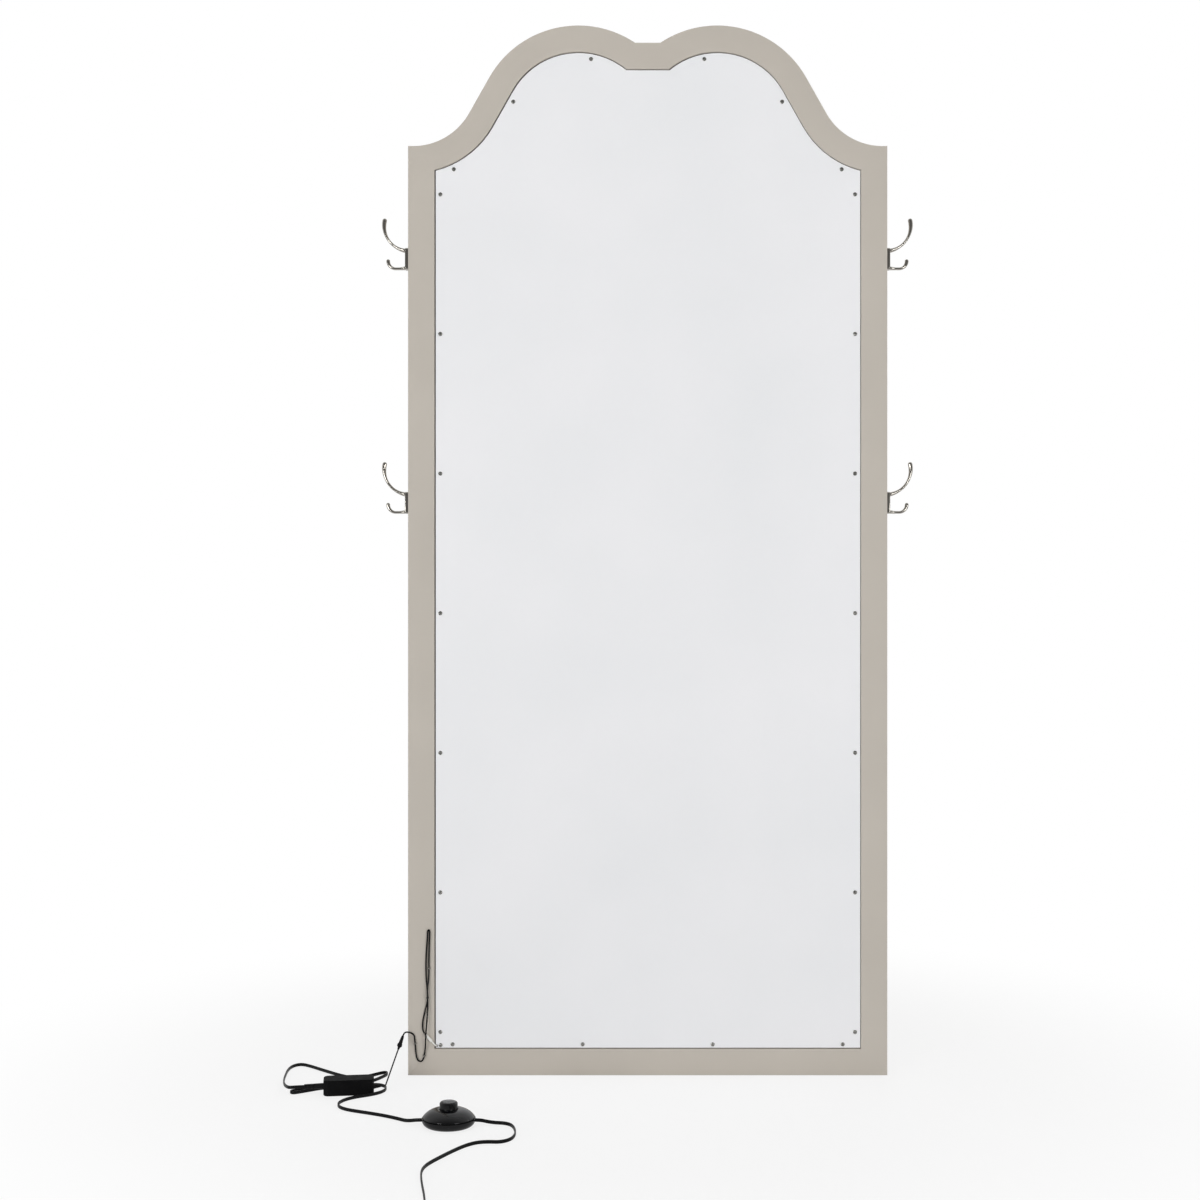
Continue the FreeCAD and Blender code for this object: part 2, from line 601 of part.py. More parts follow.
def frame_pieces():
    """Frame members with their dowel and hook-screw holes, the dowels, and the battens."""
    holes = dowels(DOWEL_CLEARANCE) + hook_screw_holes()
    members = split(frame_ring())
    for name, shape in members.items():
        suffix = "rail" if name in ("bottom", "crest") else "stile"
        save("%s_%s" % (name, suffix), shape.cut(holes))
    save("frame_dowels", Part.makeCompound(dowels(0)))
    battens = ring(MEMBER_WIDTH, BATTEN_EDGE, PANEL_FRONT, GLASS_BACK)
    battens = battens.cut(panel_screw_holes() + [feed_groove()])
    for name, shape in split(battens).items():
        save("%s_batten" % name, shape)


def glass_pieces():
    """Mirror glass with its etched light band, the foam gasket at the lip, and the light strip on the battens."""
    edge = MEMBER_WIDTH + GLASS_CLEARANCE
    band = MEMBER_WIDTH + BAND_INSET
    etch = ring(band, band + BAND_WIDTH, GLASS_BACK - OVERRUN, GLASS_BACK + ETCH_DEPTH)
    save("mirror_glass", slab(edge, GLASS_BACK, GLASS_FRONT).cut(etch))
    save("glass_gasket", ring(edge, edge + GASKET_WIDTH, GLASS_FRONT, LIP_BACK))
    half = STRIP_WIDTH / 2
    middle = strip_middle()
    strip = ring(BATTEN_EDGE, STRIP_FACE, middle - half, middle + half)
    reach = FEED_CORNER / 4
    corner = block(LEFT, LEFT + BATTEN_EDGE + reach, middle - FRAME_DEPTH, middle + FRAME_DEPTH, 0, BATTEN_EDGE + reach)
    save("light_strip", strip.cut(corner))
    save("light_chips", Part.makeCompound(light_chips()))


def backing_pieces():
    panel = slab(PANEL_EDGE, PANEL_BACK, PANEL_FRONT).translated(Vec(PANEL_SHIFT, 0, 0))
    save("backing_panel", panel.cut(panel_screw_holes() + [feed_nick()]))
    save("backing_screws", Part.makeCompound([panel_screw(x, z) for x, z in panel_screw_places()]))


def prong(stations):
    """Loft through ellipses: each station is a centre, the normal in the prong's plane, thickness and width."""
    sections = []
    for centre, normal, thickness, width in stations:
        # An ellipse needs its longer axis first, so a round section is kept a hair wider than it is thick
        side = Vec(0, max(width, thickness * 1.0001) / 2, 0)
        ellipse = Part.Ellipse(centre + side, centre + normal * (thickness / 2), centre)
        sections.append(Part.Wire([ellipse.toShape()]))
    return Part.makeLoft(sections, True, False)


def prong_size(end_thickness, end_width, share):
    """Thickness and width part of the way from a prong's slim middle to one of its ends."""
    return (PRONG_THICKNESS + (end_thickness - PRONG_THICKNESS) * share,
            PRONG_WIDTH + (end_width - PRONG_WIDTH) * share)


def upper_prong():
    """Long prong: leaves the plate's top, sweeps out and up on one arc, and swells to a round tip."""
    centre = Vec(HOOK_PLATE_THICKNESS / 2 - 3.7, 0, UPPER_PRONG_RISE)
    root = (PRONG_ROOT_THICKNESS, PRONG_ROOT_WIDTH)
    tip = (PRONG_TIP_DIAMETER - PRONG_TIP_STEP, PRONG_TIP_DIAMETER - PRONG_TIP_STEP)
    shares = [(-88, root, 1), (-72, root, 0.45), (-52, root, 0), (-30, tip, 0), (-12, tip, 0.4), (1, tip, 0.85),
              (13, tip, 1)]
    stations = []
    for degrees, end, share in shares:
        normal = on_circle(Vec(0, 0, 0), 1, math.radians(degrees))
        stations.append((centre + normal * UPPER_PRONG_RADIUS, normal) + prong_size(end[0], end[1], share))
    return prong(stations).fuse(Part.makeSphere(PRONG_TIP_DIAMETER / 2, stations[-1][0]))


def lower_prong():
    """Short prong: runs out from the plate's lower end with a flat underside and curls up to a round tip."""
    start = HOOK_PLATE_THICKNESS / 2
    down = Vec(0, 0, -1)
    tip = LOWER_TIP_DIAMETER - PRONG_TIP_STEP
    stations = []
    for along, share in ((0, 1), (0.35, 0.35), (0.7, 0)):
        thickness, width = prong_size(LOWER_ROOT_THICKNESS, PRONG_ROOT_WIDTH, share)
        reach = start + (LOWER_PRONG_REACH - start) * along
        stations.append((Vec(reach, 0, thickness / 2), down, thickness, width))
    centre = Vec(LOWER_PRONG_REACH, 0, PRONG_THICKNESS / 2 + LOWER_PRONG_RADIUS)
    for degrees, share in ((-90, 0), (-68, 0.15), (-45, 0.4), (-22, 0.75), (2, 1)):
        normal = on_circle(Vec(0, 0, 0), 1, math.radians(degrees))
        stations.append((centre + normal * LOWER_PRONG_RADIUS, normal) + prong_size(tip, tip, share))
    return prong(stations).fuse(Part.makeSphere(LOWER_TIP_DIAMETER / 2, stations[-1][0]))


def hook_screw(height, growth):
    """Countersunk screw through the hook's plate, grown to cut its hole."""
    face = Vec(HOOK_PLATE_THICKNESS, 0, height)
    sink = (HOOK_SCREW_HEAD - HOOK_SCREW_DIAMETER) / 2
    radius = HOOK_SCREW_DIAMETER / 2 + growth
    end = face - Vec(HOOK_SCREW_LENGTH + growth, 0, 0)
    return taper(face, face - Vec(sink, 0, 0), HOOK_SCREW_HEAD / 2 + growth, radius).fuse(rod(face, end, radius))


def hook():
    half = HOOK_PLATE_WIDTH / 2
    plate = block(0, HOOK_PLATE_THICKNESS, -half, half, 0, HOOK_PLATE_HEIGHT)
    corners = [e for e in plate.Edges if abs(e.tangentAt(0).x) > 0.9]
    plate = plate.makeFillet(HOOK_PLATE_CORNER, corners)
    rim = [e for e in plate.Edges if e.BoundBox.XMin > HOOK_PLATE_THICKNESS - 0.01]
    plate = plate.makeFillet(HOOK_PLATE_EDGE, rim)
    casting = plate.fuse([upper_prong(), lower_prong()]).removeSplitter()
    return casting.cut([hook_screw(height, SCREW_CLEARANCE) for height in HOOK_SCREW_HEIGHTS])


def hung(shape, side, height):
    """Sets a hook's piece against the frame's side, turned over for the left."""
    placed = shape if side == "right" else shape.mirror(Vec(0, 0, 0), Vec(1, 0, 0))
    return placed.translated(Vec(HALF_WIDTH if side == "right" else LEFT, -HOOK_SET_BACK, height))


def hook_screw_holes():
    holes = []
    for drop in HOOK_DROPS.values():
        for side in ("left", "right"):
            height = FRAME_HEIGHT - drop
            holes += [hung(hook_screw(up, SCREW_CLEARANCE), side, height) for up in HOOK_SCREW_HEIGHTS]
    return holes


def hook_pieces():
    casting = hook()
    screws = []
    for level, drop in HOOK_DROPS.items():
        for side in ("left", "right"):
            height = FRAME_HEIGHT - drop
            save("%s_%s_hook" % (level, side), hung(casting, side, height))
            screws += [hung(hook_screw(up, 0), side, height) for up in HOOK_SCREW_HEIGHTS]
    save("hook_screws", Part.makeCompound(screws))


def clip(start, end):
    """Small arch on the frame's rear face over the middle of a run of the light lead."""
    along = (end - start).normalize()
    off = Vec(0, -1, 0)
    across = along.cross(off).normalize()
    middle = (start + end) * 0.5
    foot = Vec(middle.x, REAR, middle.z) - along * (CLIP_LENGTH / 2)
    inner = LIGHT_LEAD_DIAMETER / 2 + CLIP_CLEARANCE
    faces = []
    for radius in (inner + CLIP_WALL, inner):
        low_left = foot - across * radius
        low_right = foot + across * radius
        lift = off * LIGHT_LEAD_LIFT
        crown = foot + lift + off * radius
        edges = [
            Part.LineSegment(low_right, low_left).toShape(),
            Part.LineSegment(low_left, low_left + lift).toShape(),
            Part.Arc(low_left + lift, crown, low_right + lift).toShape(),
            Part.LineSegment(low_right + lift, low_right).toShape(),
        ]
        faces.append(Part.Face(Part.Wire(edges)))
    return faces[0].extrude(along * CLIP_LENGTH).cut(faces[1].extrude(along * CLIP_LENGTH))


def lead_tie(first, second):
    """Band round the two strands of the light lead where one lies over the other."""
    def box(growth, half):
        reach = LIGHT_LEAD_DIAMETER / 2 + TIE_ROOM + growth
        return block(min(first.x, second.x) - reach, max(first.x, second.x) + reach, min(first.y, second.y) - reach,
                     max(first.y, second.y) + reach, first.z - half, first.z + half)
    return box(TIE_THICKNESS, TIE_WIDTH / 2).cut(box(0, TIE_WIDTH))


def adapter_point(along, across, up):
    """Point in the adapter's own frame: along it to its low-voltage end, across it, and up."""
    yaw = math.radians(ADAPTER_YAW)
    centre = laid(ADAPTER_PLACE[0], ADAPTER_PLACE[1], 0)
    x = along * math.cos(yaw) - across * math.sin(yaw)
    y = along * math.sin(yaw) + across * math.cos(yaw)
    return centre + Vec(x, y, up)


def at_adapter(shape):
    turn = FreeCAD.Rotation(UP, ADAPTER_YAW)
    placed = shape.copy()
    placed.Placement = FreeCAD.Placement(adapter_point(0, 0, 0), turn).multiply(placed.Placement)
    return placed


def low_lead_start():
    reach = ADAPTER_LENGTH / 2 + LOW_RELIEF_LENGTH
    return [adapter_point(reach, 0, LOW_RELIEF_HEIGHT), adapter_point(reach + LOW_LEAD_START, 0, LOW_RELIEF_HEIGHT)]


def connector_axis():
    """Line of the low-voltage socket and plug: the lead between them and the adapter is pulled straight."""
    start = laid(*SOCKET_START)
    return start, (low_lead_start()[1] - start).normalize()


def light_lead_pieces():
    """The white feed wire and sleeve, the black lead that is clipped to the frame, and its clips and tie."""
    feed = feed_points()
    axis = sleeve_axis()
    tip = feed[-1] + axis * SLEEVE_LENGTH
    socket, pull = connector_axis()
    laid_points = [laid(*p) for p in LIGHT_LEAD_ROUTE]
    route = [tip, tip + axis * LEAD_START] + laid_points + [socket - pull * LEAD_START, socket]
    save("feed_wire", round_lead("feed_wire", feed, FEED_WIRE_DIAMETER))
    save("lead_sleeve", taper(feed[-1], tip, SLEEVE_DIAMETER / 2, SLEEVE_TIP_DIAMETER / 2))
    save("light_lead", round_lead("light_lead", route, LIGHT_LEAD_DIAMETER))
    clips = [clip(laid_points[i], laid_points[i + 1]) for i in (19, 32, 38)]
    save("lead_clips", Part.makeCompound(clips))
    save("lead_tie", lead_tie(laid_points[5], laid_points[24]))


def connector_pieces():
    """Low-voltage socket on the light lead and the plug in it, in line with the straight lead to the adapter."""
    start, axis = connector_axis()
    neck = start + axis * SOCKET_RELIEF_LENGTH
    mouth = neck + axis * SOCKET_LENGTH
    grip = mouth + axis * PLUG_GRIP_LENGTH
    end = grip + axis * PLUG_CONE_LENGTH
    floor = mouth - axis * (BARREL_LENGTH + BARREL_CLEARANCE)
    pin_end = mouth - axis * BARREL_CLEARANCE
    bore = BARREL_DIAMETER / 2 + BARREL_CLEARANCE
    throat = SOCKET_NECK_DIAMETER / 2
    socket = taper(start, neck, SOCKET_TIP_DIAMETER / 2, throat)
    socket = socket.fuse(taper(neck, mouth, throat, SOCKET_MOUTH_DIAMETER / 2))
    save("low_socket", socket.cut(rod(floor, mouth + axis * OVERRUN, bore)))
    save("socket_pin", rod(floor, pin_end, PIN_DIAMETER / 2))
    barrel = rod(mouth - axis * BARREL_LENGTH, mouth, BARREL_DIAMETER / 2)
    save("plug_barrel", barrel.cut(rod(floor, mouth + axis * OVERRUN, BARREL_BORE / 2)))
    collar = rod(mouth, grip, LOW_PLUG_DIAMETER / 2)
    collar = collar.makeFillet(LOW_PLUG_EDGE, [e for e in collar.Edges if e.Closed and isinstance(e.Curve, Part.Circle)])
    tail = taper(mouth + axis, end, SOCKET_MOUTH_DIAMETER / 2, ADAPTER_LEAD_DIAMETER / 2 + PLUG_CONE_WALL)
    save("low_plug", collar.fuse(tail).removeSplitter())
    points = low_lead_start() + [end]
    save("adapter_lead", round_lead("adapter_lead", points, ADAPTER_LEAD_DIAMETER))


def rounded_block(inset, corner, edge):
    """The adapter's outer block moved in by inset, with rounded uprights and rounded top and bottom edges."""
    x = ADAPTER_LENGTH / 2 - inset
    y = ADAPTER_WIDTH / 2 - inset
    solid = block(-x, x, -y, y, inset, ADAPTER_HEIGHT - inset)
    uprights = [e for e in solid.Edges if e.BoundBox.ZLength > 1]
    solid = solid.makeFillet(corner, uprights)
    if edge:
        rims = [e for e in solid.Edges if e.BoundBox.ZLength < 0.001]
        solid = solid.makeFillet(edge, rims)
    return solid


def adapter_pieces():
    """Two half shells with a tongue between them, a board on posts with its parts, and a relief at each end."""
    split_height = ADAPTER_HEIGHT / 2
    x = ADAPTER_LENGTH / 2
    y = ADAPTER_WIDTH / 2
    inner = rounded_block(ADAPTER_WALL, ADAPTER_CORNER - ADAPTER_WALL, 0)
    shell = rounded_block(0, ADAPTER_CORNER, ADAPTER_EDGE).cut(inner)
    lower_half = block(-x, x, -y, y, 0, split_height)
    upper_half = block(-x, x, -y, y, split_height, ADAPTER_HEIGHT)
    tongue_inset = ADAPTER_WALL + TONGUE_CLEARANCE
    hollow_inset = tongue_inset + TONGUE_WALL
    hollow = rounded_block(hollow_inset, ADAPTER_CORNER - hollow_inset, 0)
    tongue_top = block(-x, x, -y, y, split_height, split_height + TONGUE_RISE)
    tongue = rounded_block(tongue_inset, ADAPTER_CORNER - tongue_inset, 0).common(tongue_top)
    root = inner.common(block(-x, x, -y, y, split_height - TONGUE_RISE, split_height))
    posts = []
    for px in (-x / 2, x / 2):
        for py in (-y / 2, y / 2):
            posts.append(rod(Vec(px, py, ADAPTER_WALL / 2), Vec(px, py, BOARD_HEIGHT), ADAPTER_WALL))
    base = shell.common(lower_half).fuse([tongue.fuse(root).cut(hollow)] + posts).removeSplitter()
    save("adapter_base", at_adapter(base))
    save("adapter_cover", at_adapter(shell.common(upper_half)))
    board_x = x - hollow_inset - BOARD_MARGIN
    board_y = y - hollow_inset - BOARD_MARGIN / 2
    top = BOARD_HEIGHT + BOARD_THICKNESS
    save("adapter_board", at_adapter(block(-board_x, board_x, -board_y, board_y, BOARD_HEIGHT, top)))
    room = ADAPTER_HEIGHT - ADAPTER_WALL - top
    core = block(-x * 0.1, x * 0.4, -y * 0.25, y * 0.25, top, top + room * 0.9)
    winding = block(-x * 0.04, x * 0.34, -y * 0.55, y * 0.55, top + room * 0.12, top + room * 0.78)
    save("adapter_transformer", at_adapter(core.fuse(winding).removeSplitter()))
    radius = room * 0.42
    can = rod(Vec(-x * 0.78, 0, top + radius), Vec(-x * 0.2, 0, top + radius), radius)
    save("adapter_capacitor", at_adapter(can))
    low = taper(Vec(x, 0, LOW_RELIEF_HEIGHT), Vec(x + LOW_RELIEF_LENGTH, 0, LOW_RELIEF_HEIGHT),
                LOW_RELIEF_DIAMETER / 2, ADAPTER_LEAD_DIAMETER / 2 + TIE_THICKNESS)
    save("low_relief", at_adapter(low))
    save("mains_relief", at_adapter(mains_relief()))


def mains_relief():
    """Tapered relief with slots cut from alternate sides near its tip, so that it bends."""
    root = Vec(-ADAPTER_LENGTH / 2, 0, ADAPTER_HEIGHT / 2)
    tip = root - Vec(MAINS_RELIEF_LENGTH, 0, 0)
    sections = []
    for centre, height, width in ((root, 9.5, 10.5), (tip, FLAT_LEAD_HEIGHT + 2.0, FLAT_LEAD_THICKNESS + 2.6)):
        steps = [(0.5, 0.25), (0.25, 0.5), (-0.25, 0.5), (-0.5, 0.25), (-0.5, -0.25), (-0.25, -0.5), (0.25, -0.5),
                 (0.5, -0.25)]
        corners = [centre + Vec(0, width * a, height * b) for a, b in steps]
        sections.append(Part.makePolygon(corners + corners[:1]))
    body = Part.makeLoft(sections, True, True)
    slots = []
    pitch = MAINS_RELIEF_LENGTH * 0.6 / MAINS_RELIEF_SLOTS
    for i in range(MAINS_RELIEF_SLOTS):
        x = tip.x + pitch * (i + 0.75)
        side = 1 if i % 2 else -1
        depth = FLAT_LEAD_THICKNESS / 2 + 0.5
        y0, y1 = sorted((side * depth, side * ADAPTER_WIDTH))
        slots.append(block(x, x + pitch * 0.4, y0, y1, 0, ADAPTER_HEIGHT))
    return body.cut(slots)


def relief_tip():
    reach = ADAPTER_LENGTH / 2 + MAINS_RELIEF_LENGTH
    return [adapter_point(-reach, 0, ADAPTER_HEIGHT / 2), adapter_point(-reach - 11.0, 0, ADAPTER_HEIGHT / 2)]


def switch_point(x, y, z):
    return laid(SWITCH_PLACE[0], SWITCH_PLACE[1], 0) + Vec(x, y, z)


def switch_entry(side):
    """Where a lead ends inside the foot switch, and where its straight run through the wall starts."""
    stop = SWITCH_RADIUS - LEAD_ENTRY_DEPTH
    return [switch_point(side * reach, 0, LEAD_ENTRY_HEIGHT) for reach in (stop, stop + LEAD_ENTRY_RUN)]


def switch_base():
    """Round dish with a stepped post for the rotor, stops for the leads, and notches and screw holes."""
    wall = SWITCH_WALL
    inner = SWITCH_RADIUS - wall
    outer_mid = ((SWITCH_RADIUS + SWITCH_FOOT_RADIUS) / 2 + 1.4, SWITCH_SPLIT * 0.36)
    inner_mid = (outer_mid[0] - 1.5, outer_mid[1] + 1.3)
    dish = turned((0, 0), (SWITCH_FOOT_RADIUS, 0), (outer_mid, (SWITCH_RADIUS, SWITCH_SPLIT)),
                  (inner, SWITCH_SPLIT), (inner_mid, (SWITCH_FOOT_RADIUS - 1, wall)), (0, wall))
    shoulder = post_shoulder()
    post = rod(Vec(0, 0, wall / 2), Vec(0, 0, shoulder), POST_RADIUS)
    spigot = rod(Vec(0, 0, wall), Vec(0, 0, shoulder + 4 * SEAT_WASHER_THICKNESS), SPIGOT_RADIUS)
    stop = SWITCH_RADIUS - LEAD_ENTRY_DEPTH
    half = FLAT_LEAD_THICKNESS / 2 + LEAD_ENTRY_CLEARANCE
    low = LEAD_ENTRY_HEIGHT - FLAT_LEAD_HEIGHT / 2 - LEAD_ENTRY_CLEARANCE
    stops = []
    cuts = []
    for side in (-1, 1):
        x0, x1 = sorted((side * (stop - 4), side * stop))
        stops.append(block(x0, x1, -2 * half, 2 * half, wall / 2, SWITCH_SPLIT))
        x0, x1 = sorted((side * stop, side * (SWITCH_RADIUS + OVERRUN)))
        cuts.append(block(x0, x1, -half, half, low, SWITCH_SPLIT + OVERRUN))
    for place in switch_screw_places():
        cuts.append(switch_screw(place, SCREW_CLEARANCE))
    return dish.fuse([post, spigot] + stops).cut(cuts).removeSplitter()


def post_shoulder():
    return ROTOR_TOP + TOOTH_HEIGHT + RUNNING_CLEARANCE


def switch_screw_places():
    places = []
    for degrees in SWITCH_SCREW_ANGLES:
        angle = math.radians(degrees)
        places.append(Vec(SWITCH_SCREW_CIRCLE * math.cos(angle), SWITCH_SCREW_CIRCLE * math.sin(angle), 0))
    return places


def switch_screw(place, growth):
    """Countersunk screw up through the base into the cover's post, grown to cut its hole."""
    radius = SWITCH_SCREW_DIAMETER / 2
    top = place + UP * (SWITCH_SPLIT + growth)
    head = taper(place + UP * 0.2, place + UP * (SWITCH_WALL * 0.8), 2 * radius + growth, radius + growth)
    mouth = rod(place, place + UP * 0.2, 2 * radius + growth)
    shank = rod(place + UP * 0.2, top, radius + growth)
    return head.fuse(shank).fuse(mouth) if growth else head.fuse(shank)


def switch_cover():
    """Domed cover with a flat seat under its rim for the button's flange, and a post over each screw."""
    bore = BUTTON_RADIUS + BUTTON_CLEARANCE
    seat = SWITCH_TOP - SWITCH_SEAT
    inner = SWITCH_RADIUS - SWITCH_WALL
    rise = SWITCH_TOP - SWITCH_SPLIT
    outer_mid = (SWITCH_RADIUS - 9.5, SWITCH_SPLIT + rise * 0.66)
    inner_mid = (outer_mid[0] - 1.4, outer_mid[1] - 1.6)
    dome = turned((SWITCH_RADIUS, SWITCH_SPLIT), (outer_mid, (bore + 2.4, SWITCH_TOP)), (bore, SWITCH_TOP),
                  (bore, seat), (bore + 5.2, seat), (inner_mid, (inner, SWITCH_SPLIT)))
    posts = []
    for place in switch_screw_places():
        top = place + UP * (SWITCH_SPLIT + rise * 0.56)
        posts.append(rod(place + UP * SWITCH_WALL, top, SWITCH_SCREW_DIAMETER * 1.25))
    holes = [switch_screw(place, SCREW_CLEARANCE) for place in switch_screw_places()]
    return dome.fuse(posts).cut(holes).removeSplitter()


def button_levels():
    """Heights of the button: its top, its flange's top and underside, its sleeve's lower end and its ceiling."""
    flange_top = SWITCH_TOP - SWITCH_SEAT - RUNNING_CLEARANCE
    flange = flange_top - BUTTON_FLANGE_THICKNESS
    sleeve = post_shoulder() + BUTTON_TRAVEL + RUNNING_CLEARANCE
    top = SWITCH_TOP + BUTTON_RISE
    return top, flange_top, flange, sleeve, top - 8.0


def switch_button():
    """Round button: domed top, guide wall, flange that the cover holds, and a sleeve that drives the rotor."""
    top, flange_top, flange, sleeve, ceiling = button_levels()
    bore = SPRING_RADIUS + SPRING_WIRE / 2 + 1.6
    return turned((0, ceiling), (bore, ceiling), (bore, sleeve), (ROTOR_RADIUS, sleeve), (ROTOR_RADIUS, flange),
                  (BUTTON_RADIUS + BUTTON_FLANGE, flange), (BUTTON_RADIUS + BUTTON_FLANGE, flange_top),
                  (BUTTON_RADIUS, flange_top), (BUTTON_RADIUS, top - 3.4),
                  ((BUTTON_RADIUS - 1.4, top - 1.4), (BUTTON_RADIUS - 4.6, top - 0.5)), (0, top))


def switch_rotor():
    """Ratchet wheel on the post, with a crown of teeth under the button's sleeve."""
    bottom = SWITCH_WALL + RUNNING_CLEARANCE
    bore = POST_RADIUS + RUNNING_CLEARANCE
    wheel = turned((bore, bottom), (ROTOR_RADIUS, bottom), (ROTOR_RADIUS, ROTOR_TOP), (bore, ROTOR_TOP))
    teeth = []
    width = ROTOR_RADIUS * math.pi / ROTOR_TEETH / 2
    for i in range(ROTOR_TEETH):
        tooth = block(ROTOR_RADIUS - 3.0, ROTOR_RADIUS - 0.4, -width / 2, width / 2, ROTOR_TOP - 0.5,
                      ROTOR_TOP + TOOTH_HEIGHT)
        tooth.rotate(Vec(0, 0, 0), UP, 360 / ROTOR_TEETH * i)
        teeth.append(tooth)
    return wheel.fuse(teeth).removeSplitter()


def switch_spring():
    """Return spring between its seat washer and the button's ceiling."""
    ceiling = button_levels()[4]
    floor = post_shoulder() + SEAT_WASHER_THICKNESS
    slack = SPRING_WIRE / 2 + CHIP_SEAT
    rise = (ceiling - floor - 2 * slack) / SPRING_TURNS

    def place(turns):
        angle = 2 * math.pi * turns
        x = SPRING_RADIUS * math.cos(angle)
        y = SPRING_RADIUS * math.sin(angle)
        return Vec(x, y, floor + slack + rise * turns)

    edges, points, tangents = winding_edges(place, SPRING_TURNS)
    section = Part.Wire([Part.Circle(points[0], tangents[0], SPRING_WIRE / 2).toShape()])
    return Part.Wire(edges).makePipeShell([section], True, False)


def switch_contacts():
    """Two bent contact strips that stand beside the rotor."""
    near = ROTOR_RADIUS + 2 * RUNNING_CLEARANCE
    half = CONTACT_WIDTH / 2
    strips = []
    for degrees in CONTACT_ANGLES:
        foot = block(near, near + 12, -half, half, SWITCH_WALL, SWITCH_WALL + CONTACT_THICKNESS)
        riser = block(near, near + CONTACT_THICKNESS, -half, half, SWITCH_WALL, ROTOR_TOP - 1)
        strip = foot.fuse(riser).removeSplitter()
        strip.rotate(Vec(0, 0, 0), UP, degrees)
        strips.append(strip)
    return Part.makeCompound(strips)


def switch_pieces():
    place = switch_point(0, 0, 0)
    seat = post_shoulder()
    washer = turned((SPIGOT_RADIUS + SCREW_CLEARANCE, seat), (SPRING_RADIUS + 1.8, seat),
                    (SPRING_RADIUS + 1.8, seat + SEAT_WASHER_THICKNESS),
                    (SPIGOT_RADIUS + SCREW_CLEARANCE, seat + SEAT_WASHER_THICKNESS))
    screws = Part.makeCompound([switch_screw(p, 0) for p in switch_screw_places()])
    pieces = {
        "switch_base": switch_base(), "switch_cover": switch_cover(), "switch_button": switch_button(),
        "switch_rotor": switch_rotor(), "switch_spring": switch_spring(), "spring_seat": washer,
        "switch_contacts": switch_contacts(), "switch_screws": screws,
    }
    for name, shape in pieces.items():
        save(name, shape.translated(place))


def mains_leads():
    """The flat lead from the adapter to the foot switch, and from the switch to where its coil starts."""
    to_switch = relief_tip() + [laid(*p) for p in SWITCH_LEAD_ROUTE] + switch_entry(-1)[::-1]
    save("switch_lead", flat_lead("switch_lead", to_switch))
    to_plug = switch_entry(1) + [laid(*p) for p in PLUG_LEAD_ROUTE]
    save("plug_lead", flat_lead("plug_lead", to_plug))


def coil_place(turns):
    """Point of the coil: in at a steady rate, up a layer in the half turn where it reverses, and out again."""
    pitch = FLAT_LEAD_THICKNESS + COIL_TURN_GAP
    half_way = COIL_LAYER_TURNS + 0.25
    inward = turns if turns < half_way else 2 * half_way - turns
    radius = COIL_RADIUS - pitch * inward
    climb = min(1.0, max(0.0, (turns - COIL_LAYER_TURNS) / 0.5))
    angle = math.pi + 2 * math.pi * turns
    lift = (FLAT_LEAD_HEIGHT + COIL_TURN_GAP) * climb * climb * (3 - 2 * climb)
    return coil_centre() + Vec(radius * math.cos(angle), radius * math.sin(angle), lift)


def coil_centre():
    return laid(*PLUG_LEAD_ROUTE[-1]) + Vec(COIL_RADIUS, -FLAT_LEAD_HEIGHT, 0)


def coil_gap(turns):
    """Least gap between points of the coil that lie more than half a turn apart."""
    count = round(turns * 48)
    points = [coil_place(turns * i / count) for i in range(count + 1)]
    least = FRAME_WIDTH
    straight = FLAT_LEAD_HEIGHT - FLAT_LEAD_THICKNESS
    for i, first in enumerate(points):
        for second in points[i + 24:]:
            flat = math.hypot(first.x - second.x, first.y - second.y)
            rise = max(0.0, abs(first.z - second.z) - straight)
            least = min(least, math.hypot(flat, rise) - FLAT_LEAD_THICKNESS)
    return least


def coil_pieces():
    """Coil of the unseen lead, its tail to the plug, its tie, and the plug with its two blades."""
    turns = 2 * COIL_LAYER_TURNS + 0.5
    edges, points, tangents = winding_edges(coil_place, turns)
    start = laid(*PLUG_LEAD_ROUTE[-1])
    ahead = Vec(1, 0, 0)
    tail = Vec(points[-1].x + COIL_TAIL_REACH, points[-1].y - COIL_TAIL_SWAY, PLUG_THICKNESS / 2 + CHIP_SEAT)
    end = tail + ahead * FLAT_LEAD_HEIGHT
    lead_in = Part.LineSegment(start, points[0]).toShape()
    lead_out = Part.LineSegment(tail, end).toShape()
    path = Part.Wire([lead_in] + edges + biarc(points[-1], tangents[-1], tail, ahead) + [lead_out])
    section = flat_section(start, Vec(0, -1, 0))
    solid = path.makePipeShell([section], True, False)
    check_volume("plug_lead_coil", solid, section, path)
    print("plug_lead_coil least gap", round(coil_gap(turns), 2))
    save("plug_lead_coil", solid)
    save("coil_tie", coil_tie())
    plug_pieces(end + ahead * CHIP_SEAT)


def coil_tie():
    """Band round the coil's turns, on the side away from its two ends."""
    centre = coil_centre()
    half = FLAT_LEAD_THICKNESS / 2 + COIL_TIE_ROOM
    pitch = FLAT_LEAD_THICKNESS + COIL_TURN_GAP
    near = COIL_RADIUS - pitch * (COIL_LAYER_TURNS + 0.25) - half
    far = COIL_RADIUS + half
    low = centre.z - FLAT_LEAD_HEIGHT / 2 - COIL_TIE_THICKNESS / 8
    high = centre.z + FLAT_LEAD_HEIGHT * 1.5 + 2 * COIL_TURN_GAP
    wall = COIL_TIE_THICKNESS
    width = COIL_TIE_WIDTH / 2
    band = block(near - wall, far + wall, -width, width, low - wall, high + wall)
    hollow = block(near, far, -COIL_TIE_WIDTH, COIL_TIE_WIDTH, low, high)
    return band.cut(hollow).translated(Vec(centre.x, centre.y, 0))


